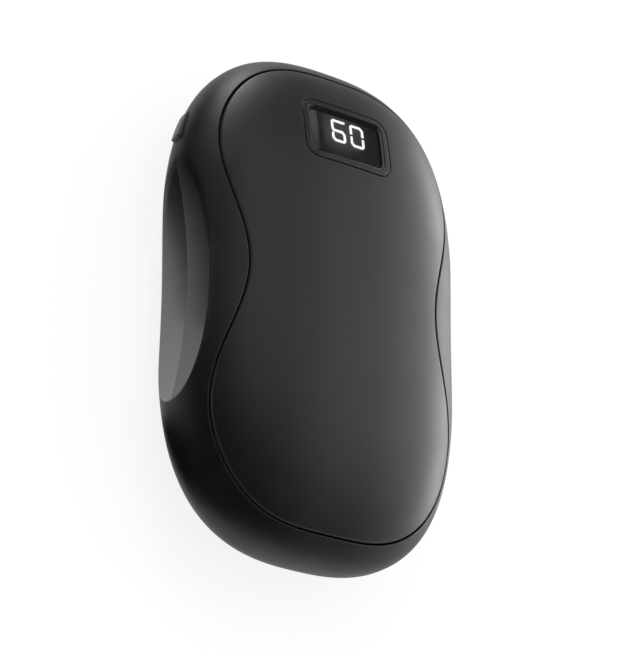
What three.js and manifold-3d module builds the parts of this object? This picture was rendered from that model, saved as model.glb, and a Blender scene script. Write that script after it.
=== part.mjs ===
// Rechargeable hand warmer: a waisted pebble for the palm, heated on both faces, with a battery readout.
// It lies on its back. Seen from the front, +X is its right side, +Y its display end, and +Z comes out of it.
import * as THREE from 'three';
import { mergeVertices } from 'three/addons/utils/BufferGeometryUtils.js';
import Module from 'manifold-3d';

const wasm = await Module();
wasm.setup();

const quarter_turn = Math.PI / 2;
const weld = 0.0001;
const halving_count = 48;

// Body dome: |x / width|^p + |y / length|^q + |z / depth|^r = 1, about the plane where the shells meet
const half_width = 31.2;
const half_length = 50;
const half_depth = 13.9;
const width_power = 2.637;
const length_power = 3.372;
const depth_power = 2.34;
const rest_cut = 0.5;
const mid_z = half_depth - rest_cut;
const dome_columns = 64;
const dome_rings = 12;
const hidden_columns = 32;
const hidden_rings = 6;

// Case walls
const wall = 2;
const panel_thickness = 1.5;
const film_thickness = 0.4;
const floor_thickness = 1.6;
const floor_inset = panel_thickness + film_thickness;
const cavity_inset = floor_inset + floor_thickness;
const thin_rim_height = 3;
const overcut = 4;

// Heated panels: a rounded oblong drawn in at the waist
const panel_side_inset = 0.08;
const panel_end_inset = 4.36;
const panel_half_width = half_width - panel_side_inset;
const panel_half_length = half_length - panel_end_inset;
const panel_side_power = 3.1;
const panel_end_power = 2.187;
const panel_waist_share = 0.325;
const panel_waist_spread = 20.23;
const panel_waist_y = 1.3;
const panel_gap = 0.35;
const panel_rim = 2;
const panel_points = 76;
const panel_refinement = 40;
const film_margin = 1.2;

// Side scoops: two shallow facets that meet in a crease on the parting plane
const scoop_side_inset = 0.87;
const scoop_end_inset = 27.08;
const scoop_reach = half_width - scoop_side_inset;
const scoop_half_length = half_length - scoop_end_inset;
const scoop_depth = 3.16;
const scoop_y = -0.6;
const scoop_slope_share = 0.045;
const scoop_slope_change_share = 0.029;
const scoop_span_share = 1.3;
const scoop_rows = 16;

// Display window, with a ring flush with the panel and a lens let in below it
const window_end_inset = 17.66;
const window_y = half_length - window_end_inset;
const ring_half_x = 9.7;
const ring_half_y = 6.37;
const ring_corner = 2.8;
const ring_gap = 0.25;
const ring_band = 1.15;
const lens_gap = 0.15;
const lens_recess = 0.15;
const lens_thickness = 0.75;
const lens_ledge = 0.8;
const stack_gap = 0.3;
const touch_gap = 0.05;
const lens_bottom = lens_recess + lens_thickness;
const pad_rise = 8.9;
const pad_bottom = half_depth - pad_rise;
const flange_margin = 1.7;
const flange_thickness = 1;
const flange_top = pad_bottom + stack_gap;
const bezel_bottom = flange_top + flange_thickness;
const board_thickness = 1;
const display_board_margin = 1.3;
const display_board_top = bezel_bottom + stack_gap;
const corner_steps = 4;

// Seven-segment readout
const digit_height = 4.85;
const digit_width = 3.12;
const digit_pitch = 4.3;
const digit_stroke = 0.52;
const digit_corner = 0.22;
const digit_inner_corner = 0.16;
const digit_break = 0.15;
const digit_thickness = 0.15;
const digit_x = 0.68;
const digit_y = 1.15;
const module_top = lens_bottom + stack_gap + digit_thickness;

// Battery, held in a fence of the back shell between two foam pads; its cell fills the cavity to a clearance
const cell_side_inset = 12.2;
const cell_end_inset = 20;
const cell_far_inset = 44;
const cell_half_width = half_width - cell_side_inset;
const cell_low_y = cell_end_inset - half_length;
const cell_high_y = half_length - cell_far_inset;
const cell_clearance = 0.54;
const cell_half_thickness = domeHeight(cell_half_width, cell_low_y, cavity_inset) - cell_clearance;
const cell_corner = 2.5;
const pad_side_margin = 8;
const pad_end_margin = 6;
const pad_half_width = cell_half_width - pad_side_margin;
const pad_half_length = (cell_high_y - cell_low_y) / 2 - pad_end_margin;
const pad_corner = 2;
const foam_clearance = 0.08;
const foam_room = domeHeight(pad_half_width, cell_low_y + pad_end_margin, cavity_inset) - cell_half_thickness;
const foam_thickness = foam_room - foam_clearance;
const fence_gap = 0.3;
const fence_thickness = 1.2;
const fence_drop = 3;
const fence_top = mid_z - fence_drop;
const guard_half_width = 8;
const guard_thickness = 1.2;
const guard_half_height = 2.5;

// Circuit board, held between posts of the two shells
const socket_height = 3.26;
const socket_width = 8.94;
const socket_wall = 0.3;
const socket_length = 7.3;
const socket_setback = 1;
const socket_mouth_y = half_length - socket_setback;
const socket_corner = 1.6;
const socket_clearance = 0.3;
const tongue_width = 6.69;
const tongue_height = 0.7;
const tongue_setback = 0.8;
const board_bottom = mid_z + socket_height / 2;
const board_top = board_bottom + board_thickness;
const board_side_inset = 8.9;
const board_half_width = half_width - board_side_inset;
const board_cell_gap = 3;
const board_low_y = cell_high_y + board_cell_gap;
const shoulder_inset = 19;
const board_shoulder_y = half_length - shoulder_inset;
const corner_side_inset = 2.8;
const corner_end_inset = 11.5;
const board_corner_x = board_half_width - corner_side_inset;
const board_corner_y = half_length - corner_end_inset;
const neck_side_inset = 8.3;
const neck_end_inset = 6;
const board_neck_x = board_half_width - neck_side_inset;
const board_neck_y = half_length - neck_end_inset;
const board_end_margin = 4.53;
const board_end_setback = 3;
const board_end_x = socket_width / 2 + board_end_margin;
const board_end_y = socket_mouth_y - board_end_setback;

// Posts and screws
const front_boss_radius = 2.6;
const back_boss_radius = 3.4;
const boss_gap = 2.4;
const boss_end_inset = 12.5;
const boss_x = ring_half_x + display_board_margin + front_boss_radius + boss_gap;
const boss_y = half_length - boss_end_inset;
const post_side_inset = 2.8;
const post_end_inset = 5;
const post_x = board_half_width - post_side_inset;
const post_y = board_low_y + post_end_inset;
const post_radius = 1.5;
const screw_radius = 1;
const screw_head_radius = 2;
const screw_head_height = 1.3;
const screw_clearance = 0.2;
const head_reach_x = boss_x + screw_head_radius;
const head_reach_y = boss_y + screw_head_radius;
const head_cover = 0.24;
const head_bottom = domeHeight(head_reach_x, head_reach_y, floor_inset) - head_cover;
const screw_head_depth = head_bottom - screw_head_height;
const end_cover = 0.47;
const screw_end_height = domeHeight(boss_x + screw_radius, boss_y + screw_radius, floor_inset) - end_cover;
const screw_point = 0.8;
const round_sides = 16;

// Power button, let into the rim of the back shell
const button_end_inset = 18.6;
const button_y = half_length - button_end_inset;
const button_drop = 2;
const button_half_length = 2.8;
const button_half_width = 1.72;
const button_corner = 0.9;
const button_gap = 0.25;
const button_proud = 0.6;
const button_travel = 0.4;
const button_land = 1.7;
const button_flange_margin = 0.8;
const button_flange_thickness = 0.8;
const button_flange_gap = 0.3;
const button_flange_top = button_land + button_flange_gap;
const button_back = button_flange_top + button_flange_thickness;
const plunger_radius = 0.9;
const plunger_length = 2.7;
const switch_setback = 1.6;
const switch_front = button_back + touch_gap + switch_setback;
const switch_length = 3.6;
const switch_half_width = 2.4;
const switch_height = 5.2;
const plunger_clearance = 0.2;

// Leads and sensors
const lead_radius = 0.55;
const lead_sides = 8;
const lead_steps = 8;
const lead_spread = 1.2;
const lead_sag = 0.35;
const lead_rest = 0.15;
const slot_side_inset = 5.5;
const slot_end_inset = 3.5;
const slot_x = post_x - slot_side_inset;
const slot_y = board_low_y + slot_end_inset;
const slot_half_width = 3;
const slot_half_length = 2.2;
const lead_gap = 0.3;
const bead_radius = 0.85;
const bead_offset = 1.1;
const bead_y = slot_y + bead_offset;
const bead_stem_radius = 0.4;
const bead_steps = 6;

// Chips and coils under the board
const charger_size = [4, 4, 0.9];
const charger_x = -5;
const charger_offset = 2.5;
const charger_place = [charger_x, board_shoulder_y + charger_offset];
const controller_size = [7, 7, 1.2];
const controller_x = -8;
const controller_offset = 9.5;
const controller_place = [controller_x, board_shoulder_y - controller_offset];
const coil_size = [7.3, 7.3, 4.2];
const coil_corner = 1.2;
const coil_x = 8;
const coil_offset = 9;
const coil_place = [coil_x, board_shoulder_y - coil_offset];
const battery_socket_size = [6.4, 5.6, 4];
const battery_socket_offset = 4.4;
const battery_socket_place = [0, board_low_y + battery_socket_offset];

// Ribbon from the display board down to the main board
const ribbon_half_width = 4;
const ribbon_thickness = 0.3;
const ribbon_lift = 0.35;
const ribbon_start_y = -5;
const ribbon_bend = 2.2;
const ribbon_foot_offset = 10;
const ribbon_foot_y = board_shoulder_y - ribbon_foot_offset;
const ribbon_foot_length = 2;
const ribbon_steps = 10;

// Colours and surfaces
const looks = {
  shell: new THREE.MeshStandardMaterial({ color: '#1d1d1f', roughness: 0.62, metalness: 0 }),
  panel: new THREE.MeshStandardMaterial({ color: '#232325', roughness: 0.58, metalness: 0 }),
  ring: new THREE.MeshStandardMaterial({ color: '#262628', roughness: 0.45, metalness: 0 }),
  lens: new THREE.MeshStandardMaterial({ color: '#0b0b0d', roughness: 0.08, metalness: 0 }),
  button: new THREE.MeshStandardMaterial({ color: '#1b1b1d', roughness: 0.55, metalness: 0 }),
  digit: new THREE.MeshStandardMaterial({ color: '#ffffff', roughness: 0.5, metalness: 0 }),
  housing: new THREE.MeshStandardMaterial({ color: '#111113', roughness: 0.6, metalness: 0 }),
  board: new THREE.MeshStandardMaterial({ color: '#1f5a35', roughness: 0.5, metalness: 0 }),
  chip: new THREE.MeshStandardMaterial({ color: '#151517', roughness: 0.5, metalness: 0 }),
  ferrite: new THREE.MeshStandardMaterial({ color: '#3a3a3d', roughness: 0.7, metalness: 0 }),
  steel: new THREE.MeshStandardMaterial({ color: '#b9bcc0', roughness: 0.3, metalness: 1 }),
  tongue: new THREE.MeshStandardMaterial({ color: '#18181a', roughness: 0.5, metalness: 0 }),
  connector: new THREE.MeshStandardMaterial({ color: '#e6e2d6', roughness: 0.5, metalness: 0 }),
  pouch: new THREE.MeshStandardMaterial({ color: '#a9aeb4', roughness: 0.4, metalness: 0.6 }),
  foam: new THREE.MeshStandardMaterial({ color: '#2a2a2c', roughness: 0.95, metalness: 0 }),
  film: new THREE.MeshStandardMaterial({ color: '#b5702a', roughness: 0.35, metalness: 0 }),
  red_lead: new THREE.MeshStandardMaterial({ color: '#a81c1c', roughness: 0.5, metalness: 0 }),
  black_lead: new THREE.MeshStandardMaterial({ color: '#161616', roughness: 0.5, metalness: 0 }),
  white_lead: new THREE.MeshStandardMaterial({ color: '#d8d8d4', roughness: 0.5, metalness: 0 }),
};

// Height of the dome above the parting plane, with its walls drawn in by an inset
function domeFill(x, y, inset) {
  const across = Math.abs(x / (half_width - inset)) ** width_power;
  const along = Math.abs(y / (half_length - inset)) ** length_power;
  return across + along;
}

function domeHeight(x, y, inset) {
  const left = Math.max(1 - domeFill(x, y, inset), 0);
  return (half_depth - inset) * left ** (1 / depth_power);
}

// Distance from the centre to the dome's outline at an angle, found by halving
function rimReach(angle, inset) {
  let low = 0;
  let high = half_length + half_width;
  for (let halving = 0; halving < halving_count; halving += 1) {
    const middle = (low + high) / 2;
    const fill = domeFill(middle * Math.cos(angle), middle * Math.sin(angle), inset);
    low = fill < 1 ? middle : low;
    high = fill < 1 ? high : middle;
  }
  return low;
}

function domeGeometry(inset, columns, rings) {
  const points = [0, 0, mid_z + half_depth - inset];
  const faces = [];
  const levels = 2 * rings - 1;
  for (let level = 1; level <= levels; level += 1) {
    const swing = (level / rings) * quarter_turn;
    const side = Math.sign(rings - level);
    for (let column = 0; column < columns; column += 1) {
      const angle = (column / columns) * 4 * quarter_turn;
      const reach = rimReach(angle, inset) * Math.sin(swing);
      const x = reach * Math.cos(angle);
      const y = reach * Math.sin(angle);
      points.push(x, y, mid_z + side * domeHeight(x, y, inset));
    }
  }
  points.push(0, 0, mid_z - half_depth + inset);
  const bottom = levels * columns + 1;
  for (let column = 0; column < columns; column += 1) {
    const next = (column + 1) % columns;
    const last = 1 + (levels - 1) * columns;
    faces.push(0, 1 + column, 1 + next);
    faces.push(bottom, last + next, last + column);
    for (let level = 0; level < levels - 1; level += 1) {
      const upper = 1 + level * columns;
      const lower = upper + columns;
      faces.push(upper + column, lower + column, lower + next);
      faces.push(upper + column, lower + next, upper + next);
    }
  }
  return meshGeometry(points, faces);
}

function meshGeometry(points, faces) {
  const geometry = new THREE.BufferGeometry();
  geometry.setAttribute('position', new THREE.BufferAttribute(new Float32Array(points), 3));
  geometry.setIndex(new THREE.BufferAttribute(new Uint32Array(faces), 1));
  return geometry;
}

// Turns a closed geometry into a solid that can be cut and joined
function solidOf(geometry) {
  const bare = geometry.clone();
  bare.deleteAttribute('normal');
  bare.deleteAttribute('uv');
  const joined = mergeVertices(bare, weld);
  const vertProperties = new Float32Array(joined.attributes.position.array);
  const triVerts = new Uint32Array(joined.index.array);
  return new wasm.Manifold(new wasm.Mesh({ numProp: 3, vertProperties, triVerts }));
}

function geometryOf(solid) {
  const { vertProperties, triVerts } = solid.getMesh();
  const geometry = meshGeometry(vertProperties, triVerts);
  geometry.computeVertexNormals();
  return geometry;
}

// Outlines, as lists of points
function roundedOutline(half_x, half_y, corner) {
  const points = [];
  const centres = [[1, 1], [-1, 1], [-1, -1], [1, -1]];
  centres.forEach(([side_x, side_y], index) => {
    for (let step = 0; step <= corner_steps; step += 1) {
      const angle = (index + step / corner_steps) * quarter_turn;
      const x = side_x * (half_x - corner) + corner * Math.cos(angle);
      const y = side_y * (half_y - corner) + corner * Math.sin(angle);
      points.push(new THREE.Vector2(x, y));
    }
  });
  return points;
}

function boxOutline(half_x, half_y) {
  const corners = [[1, 1], [-1, 1], [-1, -1], [1, -1]];
  return corners.map(([side_x, side_y]) => new THREE.Vector2(side_x * half_x, side_y * half_y));
}

function cutCorners(corners, cut) {
  const points = [];
  corners.forEach((corner, index) => {
    const before = corners[(index + corners.length - 1) % corners.length];
    const after = corners[(index + 1) % corners.length];
    const back = before.clone().sub(corner).setLength(cut);
    const ahead = after.clone().sub(corner).setLength(cut);
    points.push(corner.clone().add(back), corner.clone().add(ahead));
  });
  return points;
}

function signedPower(value, power) {
  return Math.sign(value) * Math.abs(value) ** power;
}

function panelPoint(turn) {
  const y = panel_half_length * signedPower(Math.sin(turn), 2 / panel_end_power);
  const waist = Math.exp(-(((y - panel_waist_y) / panel_waist_spread) ** 2));
  const x = panel_half_width * signedPower(Math.cos(turn), 2 / panel_side_power);
  return new THREE.Vector2(x * (1 - panel_waist_share * waist), y);
}

// The panel's outline in even steps, moved outwards by an offset
function panelOutline(offset) {
  const dense = [];
  const fine_steps = panel_refinement * panel_points;
  for (let step = 0; step < fine_steps; step += 1) {
    dense.push(panelPoint((step / fine_steps) * 4 * quarter_turn));
  }
  const outline = new THREE.Path(dense.concat([dense[0]]));
  const even = outline.getSpacedPoints(panel_points).slice(0, panel_points);
  return even.map((point, index) => {
    const before = even[(index + panel_points - 1) % panel_points];
    const after = even[(index + 1) % panel_points];
    const along = after.clone().sub(before).normalize();
    return new THREE.Vector2(point.x + offset * along.y, point.y - offset * along.x);
  });
}

// Prisms, straight up or along the outward axis of a frame
function prismGeometry(outline, low, high, holes = []) {
  const shape = new THREE.Shape(outline);
  shape.holes = holes.map((hole) => new THREE.Path(hole));
  const geometry = new THREE.ExtrudeGeometry(shape, { depth: high - low, bevelEnabled: false, steps: 1 });
  return geometry.translate(0, 0, low);
}

function prism(outline, low, high, frame = new THREE.Matrix4(), holes = []) {
  return solidOf(prismGeometry(outline, low, high, holes).applyMatrix4(frame));
}

function rodGeometry(radius, low, high, x, y) {
  const geometry = new THREE.CylinderGeometry(radius, radius, high - low, round_sides);
  return geometry.rotateX(quarter_turn).translate(x, y, (low + high) / 2);
}

function rod(radius, low, high, x, y) {
  return solidOf(rodGeometry(radius, low, high, x, y));
}

// A frame whose own +Z is a level outward direction, and whose +Y is straight up
function sidewaysFrame(outward, origin) {
  const along = new THREE.Vector3(-outward.y, outward.x, 0);
  const up = new THREE.Vector3(0, 0, 1);
  return new THREE.Matrix4().makeBasis(along, up, outward).setPosition(origin);
}

// Half width of the body inside a scoop, at a place along the body
function scoopReach(y) {
  const share = (y - scoop_y) / scoop_half_length;
  return scoop_reach - scoop_depth * (1 - share * share);
}

function scoopSolid(side, inset) {
  const rows = [];
  const height = half_depth + overcut;
  const far = half_width + overcut;
  for (let row = 0; row <= scoop_rows; row += 1) {
    const share = side * scoop_span_share * ((2 * row) / scoop_rows - 1);
    const y = scoop_y + share * scoop_half_length;
    const crease = scoopReach(y) - inset;
    const edge = crease + (scoop_slope_share + scoop_slope_change_share * share) * height;
    const section = [[crease, 0], [edge, height], [far, height], [far, -height], [edge, -height]];
    rows.push(section.map(([x, z]) => [side * x, y, mid_z + z]));
  }
  return loft(rows);
}

// A closed skin over rows of matching points
function loft(rows) {
  const count = rows[0].length;
  const last = (rows.length - 1) * count;
  const faces = [];
  for (let row = 0; row < rows.length - 1; row += 1) {
    for (let step = 0; step < count; step += 1) {
      const here = row * count + step;
      const next = row * count + ((step + 1) % count);
      faces.push(here, next, next + count, here, next + count, here + count);
    }
  }
  for (let step = 1; step < count - 1; step += 1) {
    faces.push(0, step + 1, step);
    faces.push(last, last + step, last + step + 1);
  }
  return solidOf(meshGeometry(rows.flat(2), faces));
}

// Places that several pieces share
const part = new THREE.Group();
const front = 1;
const back = -1;

const window_height = domeHeight(0, window_y, 0);
const window_rise = domeHeight(0, window_y + ring_gap, 0) - domeHeight(0, window_y - ring_gap, 0);
const window_tilt = Math.atan(window_rise / (2 * ring_gap));
const window_centre = new THREE.Vector3(0, window_y, mid_z + window_height);
const window_frame = new THREE.Matrix4().makeRotationX(window_tilt).setPosition(window_centre);

const button_fill = 1 - (button_drop / half_depth) ** depth_power - (button_y / half_length) ** length_power;
const button_x = -half_width * button_fill ** (1 / width_power);
const button_outward = new THREE.Vector3(
  -(width_power / half_width) * Math.abs(button_x / half_width) ** (width_power - 1),
  (length_power / half_length) * (button_y / half_length) ** (length_power - 1),
  0,
).normalize();
const button_centre = new THREE.Vector3(button_x, button_y, mid_z - button_drop);
const button_frame = sidewaysFrame(button_outward, button_centre);
const socket_frame = sidewaysFrame(new THREE.Vector3(0, 1, 0), new THREE.Vector3(0, socket_mouth_y, mid_z));

const case_dome = solidOf(domeGeometry(0, dome_columns, dome_rings));
const panel_under = solidOf(domeGeometry(panel_thickness, hidden_columns, hidden_rings));
const floor_top = solidOf(domeGeometry(floor_inset, hidden_columns, hidden_rings));
const floor_under = solidOf(domeGeometry(cavity_inset, hidden_columns, hidden_rings));
const wall_inside = solidOf(domeGeometry(wall, hidden_columns, hidden_rings));

// One side of the parting plane, down to the flat that the object rests on
function halfSpace(side) {
  const outline = boxOutline(half_width + overcut, half_length + overcut);
  const low = side === front ? mid_z : 0;
  const high = side === front ? mid_z + half_depth + overcut : mid_z;
  return prism(outline, low, high);
}

// A column over the panel's outline on one side of the parting plane, clear of the rims that meet there
function panelColumn(side, offset) {
  const near = mid_z + side * thin_rim_height;
  const far = mid_z + side * (half_depth + overcut);
  return prism(panelOutline(offset), Math.min(near, far), Math.max(near, far));
}

// The space inside the case: thin outer walls, and a deeper floor behind each panel
function caseCavity() {
  let cavity = wall_inside;
  [-1, 1].forEach((side) => {
    cavity = cavity.subtract(scoopSolid(side, wall));
  });
  [front, back].forEach((side) => {
    cavity = cavity.subtract(panelColumn(side, panel_rim).subtract(floor_under));
  });
  return cavity;
}

function windowOutline(margin) {
  return roundedOutline(ring_half_x + margin, ring_half_y + margin, ring_corner + margin);
}

function buttonOutline(margin) {
  return roundedOutline(button_half_length + margin, button_half_width + margin, button_corner + margin);
}

function socketOutline(margin) {
  return roundedOutline(socket_width / 2 + margin, socket_height / 2 + margin, socket_corner + margin);
}

// The pocket behind the button's land, where its flange travels
function buttonPocket() {
  const reach = button_flange_margin + button_flange_gap;
  const outline = boxOutline(button_half_length + reach, button_half_width + reach);
  return prism(outline, -switch_front, -button_land, button_frame);
}

function leadSlot(x) {
  const outline = boxOutline(slot_half_width, slot_half_length);
  const frame = new THREE.Matrix4().setPosition(x, slot_y, 0);
  const low = x > 0 ? board_top : -overcut;
  return prism(outline, low, low + mid_z, frame);
}

function shellBlank(side) {
  const recess = panelColumn(side, panel_gap).subtract(floor_top);
  let shell = case_dome.intersect(halfSpace(side)).subtract(case_cavity).subtract(recess);
  [-1, 1].forEach((hand) => {
    shell = shell.subtract(scoopSolid(hand, 0));
  });
  const socket_hole = prism(socketOutline(socket_clearance), -overcut, overcut, socket_frame);
  return shell.subtract(socket_hole).subtract(buttonPocket());
}

// Posts start inside the floor's thickness, so that they grow out of it
const post_core = solidOf(domeGeometry(floor_inset + floor_thickness / 2, hidden_columns, hidden_rings));
const case_cavity = caseCavity();

function frontShell() {
  let shell = shellBlank(front);
  const roof = mid_z + half_depth;
  const pad = prism(windowOutline(flange_margin), -pad_bottom, -floor_inset, window_frame);
  const opening = prism(windowOutline(ring_gap), -bezel_bottom, overcut, window_frame);
  const flange_reach = windowOutline(flange_margin + ring_gap);
  const flange_room = prism(flange_reach, -bezel_bottom, -pad_bottom, window_frame);
  shell = shell.add(pad.intersect(post_core)).subtract(opening).subtract(flange_room);
  [-boss_x, boss_x].forEach((x) => {
    const upper = rod(front_boss_radius, board_top, roof, x, boss_y).intersect(post_core);
    const lower = rod(front_boss_radius, mid_z, roof, x, -boss_y).intersect(post_core);
    const support = rod(post_radius, board_top, roof, Math.sign(x) * post_x, post_y).intersect(post_core);
    shell = shell.add(upper).add(lower).add(support);
    [-boss_y, boss_y].forEach((y) => {
      const bore_top = mid_z + screw_end_height + screw_clearance;
      shell = shell.subtract(rod(screw_radius + screw_clearance, 0, bore_top, x, y));
    });
  });
  return shell.subtract(leadSlot(slot_x));
}

function backShell() {
  let shell = shellBlank(back);
  const reach_x = cell_half_width + fence_gap;
  const reach_y = (cell_high_y - cell_low_y) / 2 + fence_gap;
  const frame = new THREE.Matrix4().setPosition(0, (cell_high_y + cell_low_y) / 2, 0);
  const inner = roundedOutline(reach_x, reach_y, cell_corner);
  const outer = roundedOutline(reach_x + fence_thickness, reach_y + fence_thickness, cell_corner);
  shell = shell.add(prism(outer, 0, fence_top, frame, [inner]).intersect(post_core));
  [-boss_x, boss_x].forEach((x) => {
    const upper = rod(back_boss_radius, 0, board_bottom, x, boss_y).intersect(post_core);
    const lower = rod(back_boss_radius, 0, mid_z, x, -boss_y).intersect(post_core);
    const support = rod(post_radius, 0, board_bottom, Math.sign(x) * post_x, post_y).intersect(post_core);
    shell = shell.add(upper).add(lower).add(support);
    [-boss_y, boss_y].forEach((y) => {
      const head_room = screw_head_radius + screw_clearance;
      const seat = mid_z - screw_head_depth;
      shell = shell.subtract(rod(head_room, -overcut, seat, x, y));
      shell = shell.subtract(rod(screw_radius + screw_clearance, 0, board_top, x, y));
    });
  });
  const notch = prism(buttonOutline(button_gap), -(button_land + overcut), overcut, button_frame);
  return shell.subtract(leadSlot(-slot_x)).subtract(notch);
}

function panelSolid(side) {
  const skin = case_dome.subtract(panel_under).intersect(halfSpace(side));
  return skin.intersect(panelColumn(side, 0));
}

function frontPanel() {
  return panelSolid(front).subtract(prism(windowOutline(ring_gap), -pad_bottom, overcut, window_frame));
}

function heaterFilm(side) {
  const sheet = panel_under.subtract(floor_top).intersect(halfSpace(side));
  return sheet.intersect(panelColumn(side, -film_margin));
}

function frontFilm() {
  return heaterFilm(front).subtract(prism(windowOutline(ring_gap), -pad_bottom, overcut, window_frame));
}

// The ring seen round the lens, its tube down to the display board, and the flange that holds it in
function displayBezel() {
  const tube = prism(windowOutline(0), -bezel_bottom, overcut, window_frame).intersect(case_dome);
  const flange = prism(windowOutline(flange_margin), -bezel_bottom, -flange_top, window_frame);
  const lens_room = windowOutline(-ring_band);
  const module_room = moduleOutline(lens_gap);
  const upper = prism(lens_room, -(lens_bottom + lens_gap), overcut, window_frame);
  const lower = prism(module_room, -(bezel_bottom + overcut), overcut, window_frame);
  return tube.add(flange).subtract(upper).subtract(lower);
}

function displayLens() {
  const inset = ring_band + lens_gap;
  const outline = roundedOutline(ring_half_x - inset, ring_half_y - inset, ring_corner - inset);
  const below_face = solidOf(domeGeometry(lens_recess, dome_columns, dome_rings));
  return prism(outline, -lens_bottom, overcut, window_frame).intersect(below_face);
}

function moduleOutline(margin) {
  const inset = ring_band + lens_ledge - margin;
  return roundedOutline(ring_half_x - inset, ring_half_y - inset, ring_corner - inset);
}

function powerButton() {
  const outer = solidOf(domeGeometry(-button_proud, dome_columns, dome_rings));
  const cap = prism(buttonOutline(0), -button_back, overcut, button_frame).intersect(outer);
  const flange_outline = boxOutline(
    button_half_length + button_flange_margin,
    button_half_width + button_flange_margin,
  );
  return cap.add(prism(flange_outline, -button_back, -button_flange_top, button_frame));
}

function circleOutline(radius) {
  const points = [];
  for (let step = 0; step < round_sides; step += 1) {
    const angle = (step / round_sides) * 4 * quarter_turn;
    points.push(new THREE.Vector2(radius * Math.cos(angle), radius * Math.sin(angle)));
  }
  return points;
}

function buttonSwitch() {
  const top = board_bottom - (mid_z - button_drop);
  const half_height = switch_height / 2;
  const lift = new THREE.Matrix4().makeTranslation(0, top - half_height, 0);
  const case_frame = button_frame.clone().multiply(lift);
  const outline = boxOutline(switch_half_width, half_height);
  const body = prism(outline, -(switch_front + switch_length), -switch_front, case_frame);
  const bore_end = button_back + touch_gap + plunger_length + button_travel + plunger_clearance;
  return body.subtract(prism(circleOutline(plunger_radius + plunger_clearance), -bore_end, 0, button_frame));
}

function switchPlunger() {
  const top = button_back + touch_gap;
  return prism(circleOutline(plunger_radius), -(top + plunger_length), -top, button_frame);
}

function mainBoard() {
  const right = [
    [board_half_width, board_low_y],
    [board_half_width, board_shoulder_y],
    [board_corner_x, board_corner_y],
    [board_neck_x, board_neck_y],
    [board_end_x, board_end_y],
  ];
  const left = right.map(([x, y]) => [-x, y]).reverse();
  const outline = right.concat(left).map(([x, y]) => new THREE.Vector2(x, y));
  let board = prism(outline, board_bottom, board_top);
  [-boss_x, boss_x].forEach((x) => {
    board = board.subtract(rod(screw_radius + screw_clearance, mid_z, board_top + overcut, x, boss_y));
  });
  return board;
}

function socketShell() {
  const can = prism(socketOutline(0), -socket_length, 0, socket_frame);
  const inner = prism(socketOutline(-socket_wall), socket_wall - socket_length, overcut, socket_frame);
  return can.subtract(inner);
}

function socketTongue() {
  const outline = boxOutline(tongue_width / 2, tongue_height / 2);
  return prism(outline, -(socket_length - socket_wall), -tongue_setback, socket_frame);
}

// The screw stands on its head, with its point up
function screwGeometry() {
  const length = screw_head_depth + screw_end_height;
  const profile = [
    [0, -screw_head_height],
    [screw_head_radius, -screw_head_height],
    [screw_head_radius, 0],
    [screw_radius, 0],
    [screw_radius, length - screw_point],
    [0, length],
  ];
  const lathe = new THREE.LatheGeometry(profile.map(([r, z]) => new THREE.Vector2(r, z)), round_sides);
  return lathe.rotateX(quarter_turn);
}

// Lit strokes of the readout, drawn about the middle of a digit
function strokeOutline(corners, cut) {
  return cutCorners(corners.map(([x, y]) => new THREE.Vector2(x, y)), cut);
}

function sixGeometry() {
  const side = digit_width / 2;
  const end = digit_height / 2;
  const inner = side - digit_stroke;
  const bar = digit_stroke / 2;
  const outline = strokeOutline([
    [-side, -end], [side, -end], [side, bar], [-inner, bar],
    [-inner, end - digit_stroke], [side, end - digit_stroke], [side, end], [-side, end],
  ], digit_corner);
  const loop = strokeOutline([
    [-inner, -bar], [inner, -bar], [inner, digit_stroke - end], [-inner, digit_stroke - end],
  ], digit_inner_corner);
  return prismGeometry(outline, 0, digit_thickness, [loop]);
}

function halfZeroGeometry(side_y) {
  const side = digit_width / 2;
  const end = digit_height / 2;
  const inner = side - digit_stroke;
  const arch = [
    [-side, digit_break], [-side, end], [side, end], [side, digit_break],
    [inner, digit_break], [inner, end - digit_stroke], [-inner, end - digit_stroke], [-inner, digit_break],
  ];
  const placed = arch.map(([x, y]) => [x, side_y * y]);
  return prismGeometry(strokeOutline(placed, digit_corner), 0, digit_thickness);
}

function leadGeometry(points) {
  const curve = new THREE.CatmullRomCurve3(points);
  const section = [];
  for (let step = 0; step < lead_sides; step += 1) {
    const angle = (step / lead_sides) * 4 * quarter_turn;
    section.push(new THREE.Vector2(lead_radius * Math.cos(angle), lead_radius * Math.sin(angle)));
  }
  return new THREE.ExtrudeGeometry(new THREE.Shape(section), { steps: lead_steps, extrudePath: curve });
}

// A lead between two heights, with a slight bow sideways
function risingLead(x, y, low, high) {
  const bow = Math.sign(x) * lead_sag;
  return leadGeometry([
    new THREE.Vector3(x, y, low + lead_rest),
    new THREE.Vector3(x + bow, y, low + (high - low) / 3),
    new THREE.Vector3(x + bow, y, high - (high - low) / 3),
    new THREE.Vector3(x, y, high - lead_rest),
  ]);
}

function batteryLead(x) {
  const start_y = cell_high_y + guard_thickness;
  const end_y = battery_socket_place[1] - battery_socket_size[1] / 2;
  const z = mid_z - guard_half_height / 2;
  return leadGeometry([
    new THREE.Vector3(x, start_y + lead_rest, z),
    new THREE.Vector3(x, (start_y + end_y) / 2, z - lead_sag / 2),
    new THREE.Vector3(x, end_y - lead_rest, z),
  ]);
}

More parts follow.
